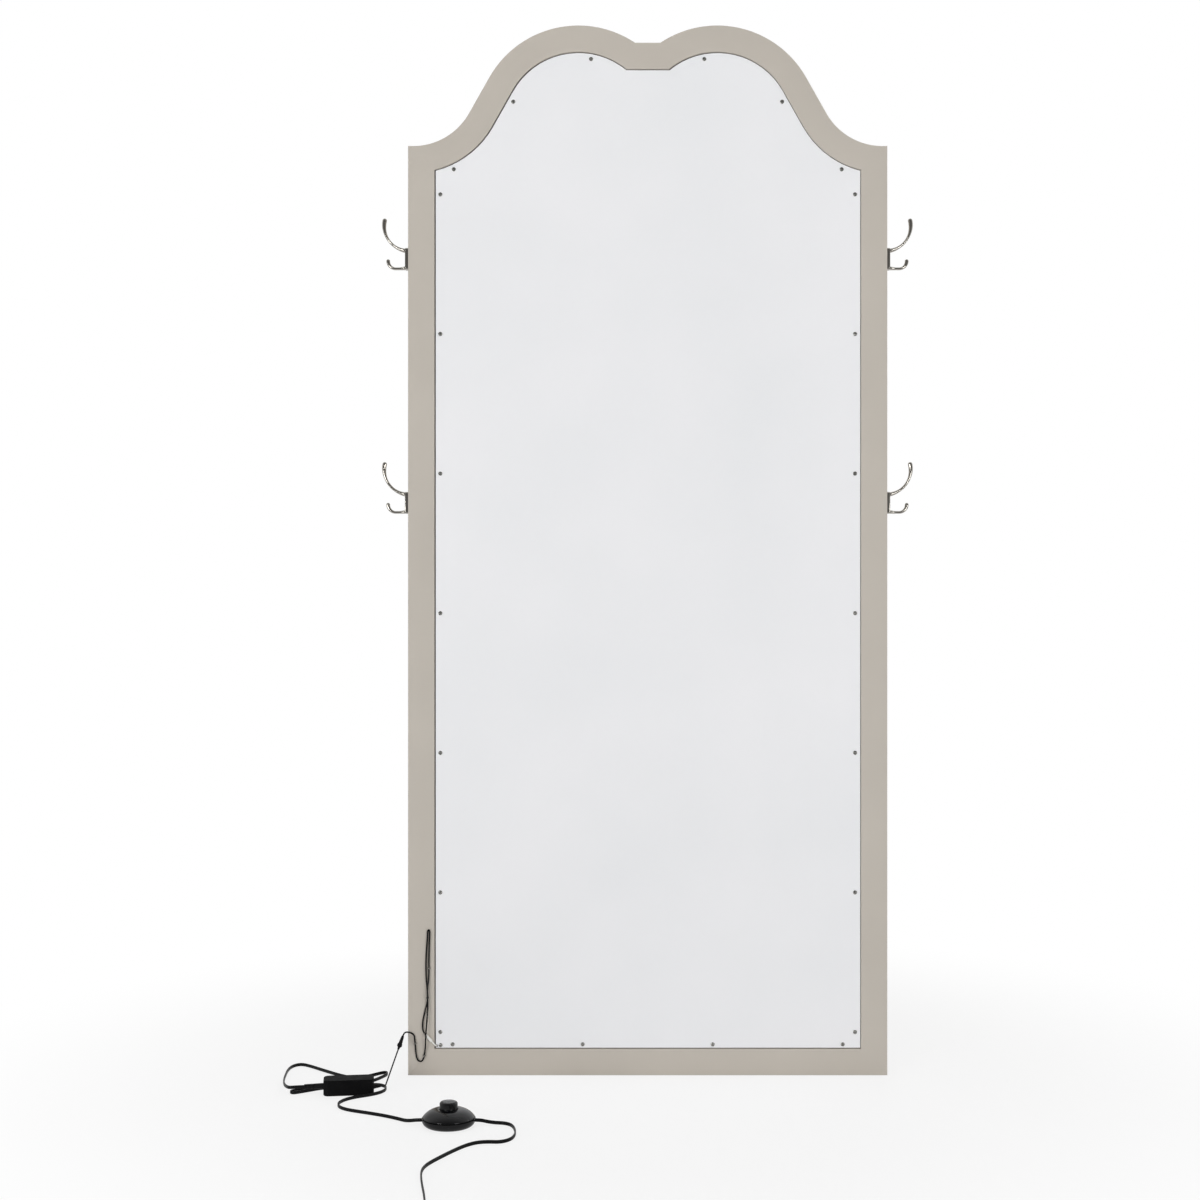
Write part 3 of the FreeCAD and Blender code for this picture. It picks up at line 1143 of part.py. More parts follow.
def plug_section(x, width, thickness):
    """Rounded rectangle across the plug: four sides and four quarter arcs."""
    bend = thickness * 0.4
    y = width / 2 - bend
    z = thickness / 2 - bend
    edges = []
    slant = bend * MITRE
    for sy, sz, odd in ((1, 1, False), (-1, 1, True), (-1, -1, False), (1, -1, True)):
        first = Vec(x, sy * (y + bend), sz * z)
        second = Vec(x, sy * y, sz * (z + bend))
        crown = Vec(x, sy * (y + slant), sz * (z + slant))
        start, end = (second, first) if odd else (first, second)
        edges.append(Part.Arc(start, crown, end).toShape())
        if odd:
            edges.append(Part.LineSegment(end, Vec(x, sy * (y + bend), -sz * z)).toShape())
        else:
            edges.append(Part.LineSegment(end, Vec(x, -sy * y, sz * (z + bend))).toShape())
    return Part.Wire(edges)


def plug_pieces(start):
    """Two-blade mains plug lying flat: a relief that swells into the grip, ribs on its sides, and the blades."""
    shoulder = PLUG_RELIEF_LENGTH
    face = PLUG_RELIEF_LENGTH + PLUG_BODY_LENGTH
    neck = plug_section(0, FLAT_LEAD_THICKNESS + 4.0, FLAT_LEAD_HEIGHT + 2.4)
    sections = [neck, plug_section(shoulder * 0.6, PLUG_WIDTH * 0.46, PLUG_THICKNESS * 0.64),
                plug_section(shoulder * 1.2, PLUG_WIDTH * 0.86, PLUG_THICKNESS * 0.94),
                plug_section(face - PLUG_BODY_LENGTH * 0.4, PLUG_WIDTH, PLUG_THICKNESS),
                plug_section(face, PLUG_WIDTH, PLUG_THICKNESS)]
    body = Part.makeLoft(sections, True, True)
    grooves = []
    pitch = PLUG_BODY_LENGTH * 0.5 / PLUG_GRIPS
    for i in range(PLUG_GRIPS):
        x = face - PLUG_BODY_LENGTH * 0.15 - pitch * (i + 0.5)
        for side in (-1, 1):
            y0, y1 = sorted((side * (PLUG_WIDTH / 2 - 1.2), side * PLUG_WIDTH))
            grooves.append(block(x, x + pitch * 0.4, y0, y1, -PLUG_THICKNESS * 0.3, PLUG_THICKNESS * 0.3))
    save("plug_body", body.cut(grooves).translated(start))
    blades = []
    for side, width in zip((-1, 1), BLADE_WIDTHS):
        y = side * BLADE_SPACING / 2
        blades.append(block(face, face + BLADE_LENGTH, y - BLADE_THICKNESS / 2, y + BLADE_THICKNESS / 2,
                            -width / 2, width / 2).translated(start))
    save("plug_blades", Part.makeCompound(blades))


os.makedirs("parts", exist_ok=True)
frame_pieces()
glass_pieces()
backing_pieces()
hook_pieces()
light_lead_pieces()
connector_pieces()
adapter_pieces()
switch_pieces()
mains_leads()
coil_pieces()
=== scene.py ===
import math

import bmesh
import bpy
import numpy as np
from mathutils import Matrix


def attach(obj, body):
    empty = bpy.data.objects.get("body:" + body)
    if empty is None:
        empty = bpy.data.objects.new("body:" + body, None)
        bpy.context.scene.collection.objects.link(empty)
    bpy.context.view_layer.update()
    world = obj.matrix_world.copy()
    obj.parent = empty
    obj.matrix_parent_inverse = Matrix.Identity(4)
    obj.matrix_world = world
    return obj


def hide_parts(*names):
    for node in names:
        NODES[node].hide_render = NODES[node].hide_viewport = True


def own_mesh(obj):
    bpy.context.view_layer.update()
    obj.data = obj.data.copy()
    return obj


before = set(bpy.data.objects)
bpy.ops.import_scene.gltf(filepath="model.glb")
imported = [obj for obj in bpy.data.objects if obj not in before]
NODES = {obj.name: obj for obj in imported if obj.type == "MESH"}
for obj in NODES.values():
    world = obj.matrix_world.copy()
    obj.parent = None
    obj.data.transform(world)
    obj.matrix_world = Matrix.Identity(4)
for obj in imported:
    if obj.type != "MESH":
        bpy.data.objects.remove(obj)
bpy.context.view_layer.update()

# Lighted floor mirror seen from behind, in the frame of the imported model: X to the right as seen from behind,
# Y from the rear face to the mirror side, Z up from the floor. Pieces are worked out in millimetres.

MM = 0.001

# Sizes repeated from the part's source
HALF_WIDTH = 417.5
REAR = -25.0
FRONT = 25.0
PANEL_BACK = -23.0
PANEL_EDGE = 47.6
MEMBER = 46.0
LIP_BACK = 17.0
LIP_EDGE = 54.0
SIGHT_EDGE = 48.0
BEVEL = 4.0
GLASS_FRONT = 16.0
GLASS_BACK = 12.0
GLASS_EDGE = 47.5
BAND_EDGES = (70.0, 92.0)
JOINT = 1509.0
NOTCH = 1799.0
LOBE = np.array([121.075, 1651.0])
LOBE_RADIUS = 178.0
SLANT = math.radians(29.5)
SHOULDER = np.array([409.0, 1619.0])
SLANT_REACH = (SHOULDER - LOBE) @ (math.cos(SLANT), math.sin(SLANT))
COVE_RADIUS = (SLANT_REACH - LOBE_RADIUS) / (1 - math.sin(SLANT))
COVE = SHOULDER + (0.0, COVE_RADIUS)
HOOK_HEIGHTS = {"lower": 979.0, "upper": 1405.5}
HOOK_SET_BACK = 8.0
HOOK_SCREW_HEIGHTS = (12.0, 23.5)
PLATE = 6.5
PLATE_HALVES = (9.0, 19.0)
PLATE_CORNER = 4.0
PLATE_EDGE = 1.2
LONG_PRONG_RADIUS = 44.0
LONG_PRONG_RISE = 77.5
LONG_PRONG_SHIFT = -3.7
SHORT_PRONG_REACH = 23.0
SHORT_PRONG_RADIUS = 13.5
PRONG_THICKNESS = 4.8
PRONG_WIDTH = 8.0
LIGHT_LEAD = 2.6
LOW_LEAD = 2.4
FLAT_LEAD = (2.8, 5.6)
LEAD_IN_SWITCH = 8.4
COIL_RADIUS = 35.0
COIL_TURNS = 6.25
COIL_STEP = 3.4
COIL_LAYER = 6.2


def vec(*values):
    return np.array(values, float)


def unit(v):
    v = np.asarray(v, float)
    return v / np.linalg.norm(v, axis=-1, keepdims=True)


def eased(x):
    """Smooth step from 0 to 1: three times the square less twice the cube."""
    x = np.clip(x, 0, 1)
    return x * x * (3 - 2 * x)


def laid(out, back, up):
    """Point measured out from the frame's left side, back from its rear face and up."""
    return vec(-HALF_WIDTH - out, REAR - back, up)


# Finishes

def linear(code):
    """sRGB hex code as linear red, green, blue and alpha."""
    c = np.array([int(code[i:i + 2], 16) for i in (1, 3, 5)]) / 255
    c = np.where(c <= 0.04045, c / 12.92, ((c + 0.055) / 1.055) ** 2.4)
    return (*map(float, c), 1.0)


def feed(tree, target, **inputs):
    """Sets or links sockets of a node; a key is the socket's name, or in_ and its number."""
    for key, value in inputs.items():
        socket = target.inputs[int(key[3:]) if key.startswith("in_") else key.replace("_", " ")]
        if isinstance(value, bpy.types.NodeSocket):
            tree.links.new(value, socket)
        else:
            socket.default_value = value


def node(tree, kind, settings=None, out=0, **inputs):
    """Adds a node with its settings and links, and gives one of its outputs."""
    made = tree.nodes.new(kind)
    for key, value in (settings or {}).items():
        setattr(made, key, value)
    feed(tree, made, **inputs)
    return made.outputs[out]


def blank(name, coordinates="Object"):
    """New material with its tree, its surface shader and its coordinates in metres."""
    material = bpy.data.materials.new(name)
    material.use_nodes = True
    tree = material.node_tree
    return material, tree, tree.nodes["Principled BSDF"], node(tree, "ShaderNodeTexCoord", out=coordinates)


COLOURS = {"data_type": "RGBA"}


def mottled(tree, noise, tones):
    """Share that follows a noise, and the colour between two tones that goes with it."""
    share = node(tree, "ShaderNodeMapRange", Value=noise, From_Min=0.3, From_Max=0.7)
    return share, node(tree, "ShaderNodeMix", COLOURS, 2, Factor=share, in_6=linear(tones[0]), in_7=linear(tones[1]))


def lacquer():
    """Sprayed lacquer on primed wood: even warm grey, a soft orange peel some 2.5 mm across, and slow drifts of
    tone over a hand's breadth."""
    material, tree, shader, place = blank("sprayed_grey_lacquer")
    peel = node(tree, "ShaderNodeTexNoise", Vector=place, Scale=1 / (2.5 * MM), Detail=2.0)
    drift = node(tree, "ShaderNodeTexNoise", Vector=place, Scale=1 / (160 * MM), Detail=3.0)
    share, tone = mottled(tree, drift, ("#bcb5ab", "#c0b9af"))
    gloss = node(tree, "ShaderNodeMapRange", Value=share, To_Min=0.5, To_Max=0.6)
    relief = node(tree, "ShaderNodeBump", Height=peel, Distance=0.02 * MM, Strength=0.6)
    feed(tree, shader, Base_Color=tone, Roughness=gloss, Normal=relief)
    return material


def hardboard():
    """White-faced hardboard: paper foil with a half gloss, faint cool clouds over a forearm's length, and the
    board's fibres showing through, drawn at 3 mm so that they can be seen."""
    material, tree, shader, place = blank("white_foiled_hardboard")
    cloud = node(tree, "ShaderNodeTexNoise", Vector=place, Scale=1 / (260 * MM), Detail=2.0)
    fibre = node(tree, "ShaderNodeTexNoise", Vector=place, Scale=1 / (3 * MM), Detail=4.0)
    share, tone = mottled(tree, cloud, ("#ebecee", "#efeff1"))
    gloss = node(tree, "ShaderNodeMapRange", Value=share, To_Min=0.36, To_Max=0.46)
    relief = node(tree, "ShaderNodeBump", Height=fibre, Distance=0.02 * MM, Strength=0.5)
    feed(tree, shader, Base_Color=tone, Roughness=gloss, Normal=relief)
    return material


def metal(name, tones, gloss, spot, wave=None):
    """Metal mottled over spots of the given size in its colour and gloss, with polishing waves where asked."""
    material, tree, shader, place = blank(name)
    spots = node(tree, "ShaderNodeTexNoise", Vector=place, Scale=1 / (spot * MM), Detail=3.0)
    share, tone = mottled(tree, spots, tones)
    dulled = node(tree, "ShaderNodeMapRange", Value=share, To_Min=gloss[0], To_Max=gloss[1])
    feed(tree, shader, Base_Color=tone, Roughness=dulled, Metallic=1.0)
    if wave:
        long, deep = wave
        waves = node(tree, "ShaderNodeTexNoise", Vector=place, Scale=1 / (long * MM), Detail=1.0)
        feed(tree, shader, Normal=node(tree, "ShaderNodeBump", Height=waves, Distance=deep * MM, Strength=0.5))
    return material


def extruded(name, tones, gloss, **sockets):
    """Extruded sheath: half gloss with faint lines drawn along it by the die, some 0.8 mm apart and 60 mm long,
    read from the cord's own map of length and girth."""
    material, tree, shader, place = blank(name, "UV")
    drawn = node(tree, "ShaderNodeMapping", Vector=place, Scale=(1 / (60 * MM), 1 / (0.8 * MM), 1))
    lines = node(tree, "ShaderNodeTexNoise", Vector=drawn, Scale=1.0, Detail=3.0)
    share, tone = mottled(tree, lines, tones)
    dulled = node(tree, "ShaderNodeMapRange", Value=share, To_Min=gloss[0], To_Max=gloss[1])
    relief = node(tree, "ShaderNodeBump", Height=lines, Distance=0.05 * MM, Strength=0.5)
    feed(tree, shader, Base_Color=tone, Roughness=dulled, Normal=relief, **sockets)
    return material


def moulded(name, tones, gloss, grain, depth, **sockets):
    """Moulded piece: the grain of the mould's wall, and slow drifts of tone and gloss some 14 mm long from
    handling."""
    material, tree, shader, place = blank(name)
    fine = node(tree, "ShaderNodeTexNoise", Vector=place, Scale=1 / (grain * MM), Detail=2.0)
    worn = node(tree, "ShaderNodeTexNoise", Vector=place, Scale=1 / (14 * MM), Detail=4.0)
    share, tone = mottled(tree, worn, tones)
    dulled = node(tree, "ShaderNodeMapRange", Value=share, To_Min=gloss[0], To_Max=gloss[1])
    relief = node(tree, "ShaderNodeBump", Height=fine, Distance=depth * MM, Strength=0.5)
    feed(tree, shader, Base_Color=tone, Roughness=dulled, Normal=relief, **sockets)
    return material


def wood(name, tones):
    """Planed close-grained wood: darker flecks drawn out along the grain, some 1.5 mm wide and 15 mm long."""
    material, tree, shader, place = blank(name)
    drawn = node(tree, "ShaderNodeMapping", Vector=place, Scale=(1 / (1.5 * MM), 1 / (1.5 * MM), 1 / (15 * MM)))
    fleck = node(tree, "ShaderNodeTexNoise", Vector=drawn, Scale=1.0, Detail=3.0)
    tone = mottled(tree, fleck, tones)[1]
    relief = node(tree, "ShaderNodeBump", Height=fleck, Distance=0.05 * MM, Strength=0.5)
    feed(tree, shader, Base_Color=tone, Roughness=0.6, Normal=relief)
    return material


LACQUER = lacquer()
BOARD = hardboard()
# Hooks: bright and a little warm, hazed by wheel marks drawn at 0.6 mm so that they show, in waves 14 mm long
NICKEL = metal("polished_nickel_casting", ("#bdb8b0", "#d2cec6"), (0.1, 0.2), 0.6, (14.0, 0.05))
# Small screws: duller and greyer than the nickel
ZINC = metal("zinc_plated_steel", ("#92918d", "#c4c3be"), (0.2, 0.34), 0.9, (0.9, 0.02))
# Glass: a clean mirror with the faintest green cast, a breath of haze drifting over it
SILVER = metal("silvered_float_glass", ("#dde3e0", "#e3e7e5"), (0.01, 0.03), 300)
BRASS = metal("tinned_brass", ("#ad9c70", "#c9b98d"), (0.2, 0.32), 2.0)
PLATED = metal("nickel_plated_brass", ("#b7b4ab", "#cfccc3"), (0.18, 0.26), 2.0)
CAN = metal("drawn_aluminium_can", ("#adb0b4", "#c3c6ca"), (0.24, 0.36), 2.0)
SPRING_STEEL = metal("drawn_spring_steel", ("#7d7f82", "#9a9c9f"), (0.22, 0.34), 1.0)
SHEATH = extruded("extruded_black_pvc", ("#070708", "#0c0c0d"), (0.28, 0.4), Specular_IOR_Level=0.2)
WHITE_SHEATH = extruded("extruded_white_pvc", ("#e2e1dc", "#eeede8"), (0.36, 0.46))
# Adapter's case: matt, with an eroded grain drawn at 0.8 mm so that it shows
MATT_ABS = moulded("spark_textured_black_abs", ("#060607", "#0c0c0d"), (0.55, 0.65), 0.8, 0.03,
                    Specular_IOR_Level=0.1)
# Foot switch: glossy, dulled a little by handling
GLOSS_ABS = moulded("polished_black_abs", ("#060608", "#0a0a0c"), (0.1, 0.16), 4.0, 0.01,
                    Specular_IOR_Level=0.45)
# Reliefs, connectors and mains plug: soft and matter
SOFT_BLACK = moulded("moulded_soft_black_pvc", ("#070708", "#0d0d0e"), (0.42, 0.54), 1.2, 0.03,
                     Specular_IOR_Level=0.2)
# Clips: cloudy and clear, so that the lead shows through
CLEAR_NYLON = moulded("moulded_clear_nylon", ("#b9b6ae", "#c9c6be"), (0.2, 0.3), 2.0, 0.02, Transmission_Weight=0.75)
BLACK_NYLON = moulded("moulded_black_nylon", ("#101010", "#191919"), (0.34, 0.46), 1.5, 0.02)
ACETAL = moulded("moulded_acetal", ("#dfdcd2", "#ebe8df"), (0.34, 0.46), 1.5, 0.02)
FOAM = moulded("closed_cell_foam", ("#232324", "#323233"), (0.85, 0.95), 0.8, 0.1)
STRIP = moulded("lacquered_flexible_circuit", ("#e4e2d9", "#f0eee6"), (0.4, 0.5), 1.5, 0.01)
PHOSPHOR = moulded("cast_phosphor_resin", ("#e6cc74", "#f2dd92"), (0.3, 0.4), 1.0, 0.02)
CIRCUIT = moulded("lacquered_circuit_board", ("#24502f", "#336a40"), (0.35, 0.45), 3.0, 0.05)
FERRITE = moulded("sintered_ferrite", ("#303032", "#404042"), (0.55, 0.65), 1.0, 0.05)
# Light band etched through the silvering: frosted white, its grains drawn at 0.8 mm so that they show
ETCHED = moulded("etched_frosted_glass", ("#e3e8e8", "#f0f3f2"), (0.45, 0.55), 0.8, 0.03)
BEECH = wood("planed_beech", ("#b98f5d", "#d3ad7b"))
# Battens: the same wood darkened to grey as painted shade, so that the shaded gap round the backing shows as a dark
# line
SHADE_DARKENED_BEECH = wood("beech_darkened_as_painted_shade", ("#4d4a47", "#625e5a"))

CARRIED = {
    BEECH: "frame_dowels",
    # battens: beech darkened to grey as painted shade for the gap line round the backing
    SHADE_DARKENED_BEECH: "left_batten right_batten bottom_batten crest_batten",
    FOAM: "glass_gasket",
    STRIP: "light_strip",
    PHOSPHOR: "light_chips",
    BOARD: "backing_panel",
    BRASS: "switch_contacts socket_pin",
    PLATED: "plug_barrel plug_blades",
    CIRCUIT: "adapter_board",
    FERRITE: "adapter_transformer",
    CAN: "adapter_capacitor",
    SPRING_STEEL: "spring_seat",
    ACETAL: "switch_rotor",
    CLEAR_NYLON: "lead_clips",
    BLACK_NYLON: "lead_tie coil_tie",
    ZINC: "switch_screws",
    MATT_ABS: "adapter_base adapter_cover",
    GLOSS_ABS: "switch_base switch_button",
    SOFT_BLACK: "low_relief mains_relief plug_body",
}
for material, names in CARRIED.items():
    for name in names.split():
        NODES[name].data.materials.clear()
        NODES[name].data.materials.append(material)


# Meshes from grids of points

def faces_of(u, v, around):
    """Corner numbers of the faces of a u by v grid, closed round v where asked, and the same with v left open."""
    i = np.arange(u - 1)[:, None]
    j = np.arange(v if around else v - 1)[None, :]
    corners = [(i, j), (i, j + 1), (i + 1, j + 1), (i + 1, j)]
    closed = np.stack([a * v + b % v for a, b in corners], -1).reshape(-1, 4)
    opened = np.stack([a * (v + 1) + b for a, b in corners], -1).reshape(-1, 4)
    return closed, opened


def length_map(grid):
    """Map of a grid in metres: distance along its first line, and distance round its middle ring."""
    along = np.concatenate([[0], np.cumsum(np.linalg.norm(np.diff(grid[:, 0], axis=0), axis=1))])
    ring = grid[len(grid) // 2]
    ring = np.concatenate([ring, ring[:1]])
    girth = np.concatenate([[0], np.cumsum(np.linalg.norm(np.diff(ring, axis=0), axis=1))])
    return np.stack(np.broadcast_arrays(along[:, None], girth[None, :]), -1).reshape(-1, 2) * MM


def piece(name, grids, finishes, nodes=(), body="mirror", sharp=32.0):
    """One mesh from grids of points in millimetres, each (points, closed ends, finish number).

    Every grid is closed round its lines; s and e in closed ends stand for a face across its first and last one."""
    points, faces, numbers, maps, start = [], [], [], [], 0
    for grid, ends, number in grids:
        u, v = grid.shape[:2]
        closed, opened = faces_of(u, v, True)
        made = (closed + start).tolist()
        maps.append(length_map(grid)[opened].reshape(-1, 2))
        for mark, line in (("s", 0), ("e", u - 1)):
            if mark in ends:
                made.append(list(range(start + line * v, start + (line + 1) * v)))
                maps.append(np.zeros((v, 2)))
        points.append(grid.reshape(-1, 3) * MM)
        faces += made
        numbers += [number] * len(made)
        start += u * v
    mesh = bpy.data.meshes.new(name)
    mesh.from_pydata(np.concatenate(points), [], faces)
    mesh.polygons.foreach_set("material_index", np.array(numbers, np.int32))
    mesh.uv_layers.new(name="length").uv.foreach_set("vector", np.concatenate(maps).ravel())
    shell = bmesh.new()
    shell.from_mesh(mesh)
    bmesh.ops.remove_doubles(shell, verts=shell.verts, dist=1e-6)
    bmesh.ops.recalc_face_normals(shell, faces=shell.faces)
    shell.to_mesh(mesh)
    shell.free()
    mesh.polygons.foreach_set("use_smooth", np.ones(len(mesh.polygons), bool))
    mesh.set_sharp_from_angle(angle=math.radians(sharp))
    for material in finishes:
        mesh.materials.append(material)
    made = bpy.data.objects.new(name, mesh)
    bpy.context.scene.collection.objects.link(made)
    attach(made, body)
    if nodes:
        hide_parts(*nodes)
    return made


def turned(start, axis, profile, steps=48):
    """Surface of revolution: each (distance along the axis, radius) of the profile swept round the axis."""
    profile = np.asarray(profile, float)
    axis = unit(axis)
    side = unit(np.cross(axis, (0.2, 0.9, 0.4)))
    other = np.cross(axis, side)
    turn = np.linspace(0, 2 * np.pi, steps, endpoint=False)
    ring = np.cos(turn)[:, None] * side + np.sin(turn)[:, None] * other
    return start + profile[:, :1, None] * axis + profile[:, 1:, None] * ring


def rounded(corners, radii, steps=5):
    """Closed outline with each corner replaced by an arc of its radius that touches both of its sides."""
    corners = np.asarray(corners, float)
    out = []
    for i, radius in enumerate(radii):
        here = corners[i]
        back, ahead = unit(corners[i - 1] - here), unit(corners[(i + 1) % len(corners)] - here)
        half = math.acos(np.clip(back @ ahead, -1, 1)) / 2
        centre = here + unit(back + ahead) * radius / math.sin(half)
        first = here + back * radius / math.tan(half) - centre
        last = here + ahead * radius / math.tan(half) - centre
        share = np.linspace(0, 1, steps)[:, None]
        sweep = math.pi - 2 * half
        out.append(centre + (np.sin((1 - share) * sweep) * first + np.sin(share * sweep) * last) / math.sin(sweep))
    return np.concatenate(out)


# Frame

def crest_half(inset):
    """Right half of the frame's outline above the crest joint, moved in by each inset: the side, an arc about the
    cove's centre whose radius grows with the inset, a straight slant, and an arc about the lobe's centre whose
    radius shrinks with it, as far as the notch."""
    inset = np.asarray(inset, float)[:, None]
    side, cove, lobe = HALF_WIDTH - inset, COVE_RADIUS + inset, LOBE_RADIUS - inset
    first = -np.arccos((side - COVE[0]) / cove)
    turn = first + (SLANT - np.pi - first) * np.linspace(0, 1, 48)
    notch = np.pi - np.arcsin((NOTCH - inset - LOBE[1]) / lobe)
    bend = SLANT + (notch - SLANT) * np.linspace(0, 1, 128)
    x = np.concatenate([side, COVE[0] + cove * np.cos(turn), LOBE[0] + lobe * np.cos(bend)], 1)
    z = np.concatenate([np.full_like(side, JOINT), COVE[1] + cove * np.sin(turn), LOBE[1] + lobe * np.sin(bend)], 1)
    return x, z


def outline(inset):
    """Whole outline of the frame moved in by each inset, from the right foot over the crest to the left foot."""
    x, z = crest_half(inset)
    foot = np.asarray(inset, float)[:, None]
    side = HALF_WIDTH - foot
    return np.concatenate([side, x, -x[:, ::-1], -side], 1), np.concatenate([foot, z, z[:, ::-1], foot], 1)


def make_frame():
    """The moulding's section, its edges eased, carried along each member; the foot's corners are mitred."""
    section = rounded([(0, REAR), (MEMBER, REAR), (MEMBER, LIP_BACK), (LIP_EDGE, LIP_BACK),
                       (SIGHT_EDGE, FRONT), (BEVEL, FRONT), (0, FRONT - BEVEL)], [0.9, 0.7, 0.05, 0.5, 1.2, 1.5, 1.5])
    inset, y = section.T
    x, z = crest_half(inset)
    side = HALF_WIDTH - inset
    foot = np.column_stack([inset, inset])
    rise = np.column_stack([inset, np.full_like(inset, JOINT)])
    runs = {
        "crest_rail": (np.concatenate([x, -x[:, ::-1]], 1), np.concatenate([z, z[:, ::-1]], 1)),
        "right_stile": (np.column_stack([side, side]), rise),
        "left_stile": (np.column_stack([-side, -side]), rise),
        "bottom_rail": (np.column_stack([-side, side]), foot),
    }
    for name, (x, z) in runs.items():
        grid = np.stack(np.broadcast_arrays(x, y[:, None], z), -1).transpose(1, 0, 2)
        piece(name + "_moulding", [(grid, "se", 0)], [LACQUER], [name])


def make_glass():
    """Slab of glass whose front carries the etched light band as a ring with its own finish."""
    def rings(insets, ys):
        x, z = outline(insets)
        return np.stack(np.broadcast_arrays(x, np.asarray(ys, float)[:, None], z), -1)

    piece("mirror_glass_sheet", [
        (rings([GLASS_EDGE, GLASS_EDGE], [GLASS_BACK, GLASS_FRONT]), "s", 0),
        (rings([GLASS_EDGE, BAND_EDGES[0]], [GLASS_FRONT] * 2), "", 0),
        (rings(BAND_EDGES, [GLASS_FRONT] * 2), "", 1),
        (rings([BAND_EDGES[1], BAND_EDGES[1] + 2], [GLASS_FRONT] * 2), "e", 0),
    ], [SILVER, ETCHED], ["mirror_glass"])


make_frame()
make_glass()


# Screws

def screw(radius, rim, dome, shank, length, turn):
    """Screw as rings about its axis, giving offsets across and along and the height.

    The head is a rim and a dome that falls with the square of the radius, with a cross cut into it; below it the
    shank's radius steps in and out for the thread and ends in a point."""
    head = np.append(np.linspace(0, 1, 18), 1) * radius
    down = np.linspace(0, length - 2, 12)
    thread = shank / 2 * (1 - 0.2 * (np.arange(12) % 2))
    r = np.concatenate([head, thread, [0]])[:, None]
    angle = np.linspace(0, 2 * np.pi, 40, endpoint=False)
    a, b = r * np.cos(angle), r * np.sin(angle)

    def inside(value, half):
        return np.clip((half - np.abs(value)) / (0.08 * radius) + 0.5, 0, 1)

    slot, reach = 0.15 * radius, 0.55 * radius
    cross = np.maximum(inside(a, slot) * inside(b, reach), inside(b, slot) * inside(a, reach))
    height = rim + dome * (1 - (r / radius) ** 2) - cross * 0.36 * radius
    height[len(head) - 1:] = -np.concatenate([[0], down, [length]])[:, None]
    return a * np.cos(turn) - b * np.sin(turn), a * np.sin(turn) + b * np.cos(turn), height


def panel_screw_places():
    """(x, z) of the backing's screws: side columns, lobes, coves, foot row, and one in the lead's corner."""
    edge = PANEL_EDGE + 8.5
    lobe, cove = np.radians([100.6, 21.9]), math.radians(-115)
    half = np.concatenate([
        np.column_stack([np.full(7, HALF_WIDTH - edge), np.linspace(75, 1535, 7)]),
        LOBE + (LOBE_RADIUS - edge) * np.column_stack([np.cos(lobe), np.sin(lobe)]),
        [COVE + (COVE_RADIUS + edge) * vec(math.cos(cove), math.sin(cove))],
    ])
    foot = np.column_stack([np.linspace(-340, 340, 4), np.full(4, PANEL_EDGE + 6)])
    return np.concatenate([half, half * (-1, 1), foot, [(PANEL_EDGE + 9 - HALF_WIDTH, PANEL_EDGE + 4.5)]])


def make_panel_screws():
    rng = np.random.default_rng(7)
    grids = []
    for x, z in panel_screw_places():
        a, b, height = screw(3.5, 0.7, 1.15, 3.0, 14.0, rng.uniform(0, np.pi))
        grids.append((np.stack([x + a, PANEL_BACK - height, z + b], -1), "", 0))
    piece("backing_screw_set", grids, [ZINC], ["backing_screws"], sharp=40)


make_panel_screws()


# Coat hooks

def prong(centre, normal, thickness, width):
    """Ellipses of the given thickness and width set across a line of centres, with a round tip: beyond the last one
    the ellipse moves on by the sine and shrinks by the cosine of a quarter turn."""
    run = unit(centre[-1] - centre[-2])
    quarter = np.linspace(0, np.pi / 2, 12)[1:]
    reach = min(thickness[-1], width[-1]) / 2
    centre = np.concatenate([centre, centre[-1] + np.sin(quarter)[:, None] * reach * run])
    normal = np.concatenate([normal, np.repeat(normal[-1:], len(quarter), 0)])
    thickness = np.concatenate([thickness, thickness[-1] * np.cos(quarter)])
    width = np.concatenate([width, width[-1] * np.cos(quarter)])
    turn = np.linspace(0, 2 * np.pi, 36, endpoint=False)
    across = (thickness / 2)[:, None, None] * np.cos(turn)[None, :, None] * normal[:, None]
    sideways = (width / 2)[:, None, None] * np.sin(turn)[None, :, None] * vec(0, 1, 0)
    return centre[:, None] + across + sideways


def upper_prong():
    """Long prong: one arc from the plate's top out and up, thick at its root, slim in the middle and swelling
    towards the tip; its root flares where it leaves the plate."""
    degrees = np.linspace(-88, 12, 72)
    angle = np.radians(degrees)
    normal = np.column_stack([np.cos(angle), 0 * angle, np.sin(angle)])
    centre = vec(PLATE / 2 + LONG_PRONG_SHIFT, 0, LONG_PRONG_RISE) + LONG_PRONG_RADIUS * normal
    root = np.clip((-52 - degrees) / 36, 0, 1) ** 1.5
    tip = eased((degrees + 32) / 44)
    flare = np.exp(-np.maximum(centre[:, 0] - PLATE, 0) / 1.6)
    thickness = PRONG_THICKNESS + 4.2 * root + 3 * tip
    return prong(centre, normal, thickness, PRONG_WIDTH + 5 * root - 0.2 * tip + 1.6 * flare)


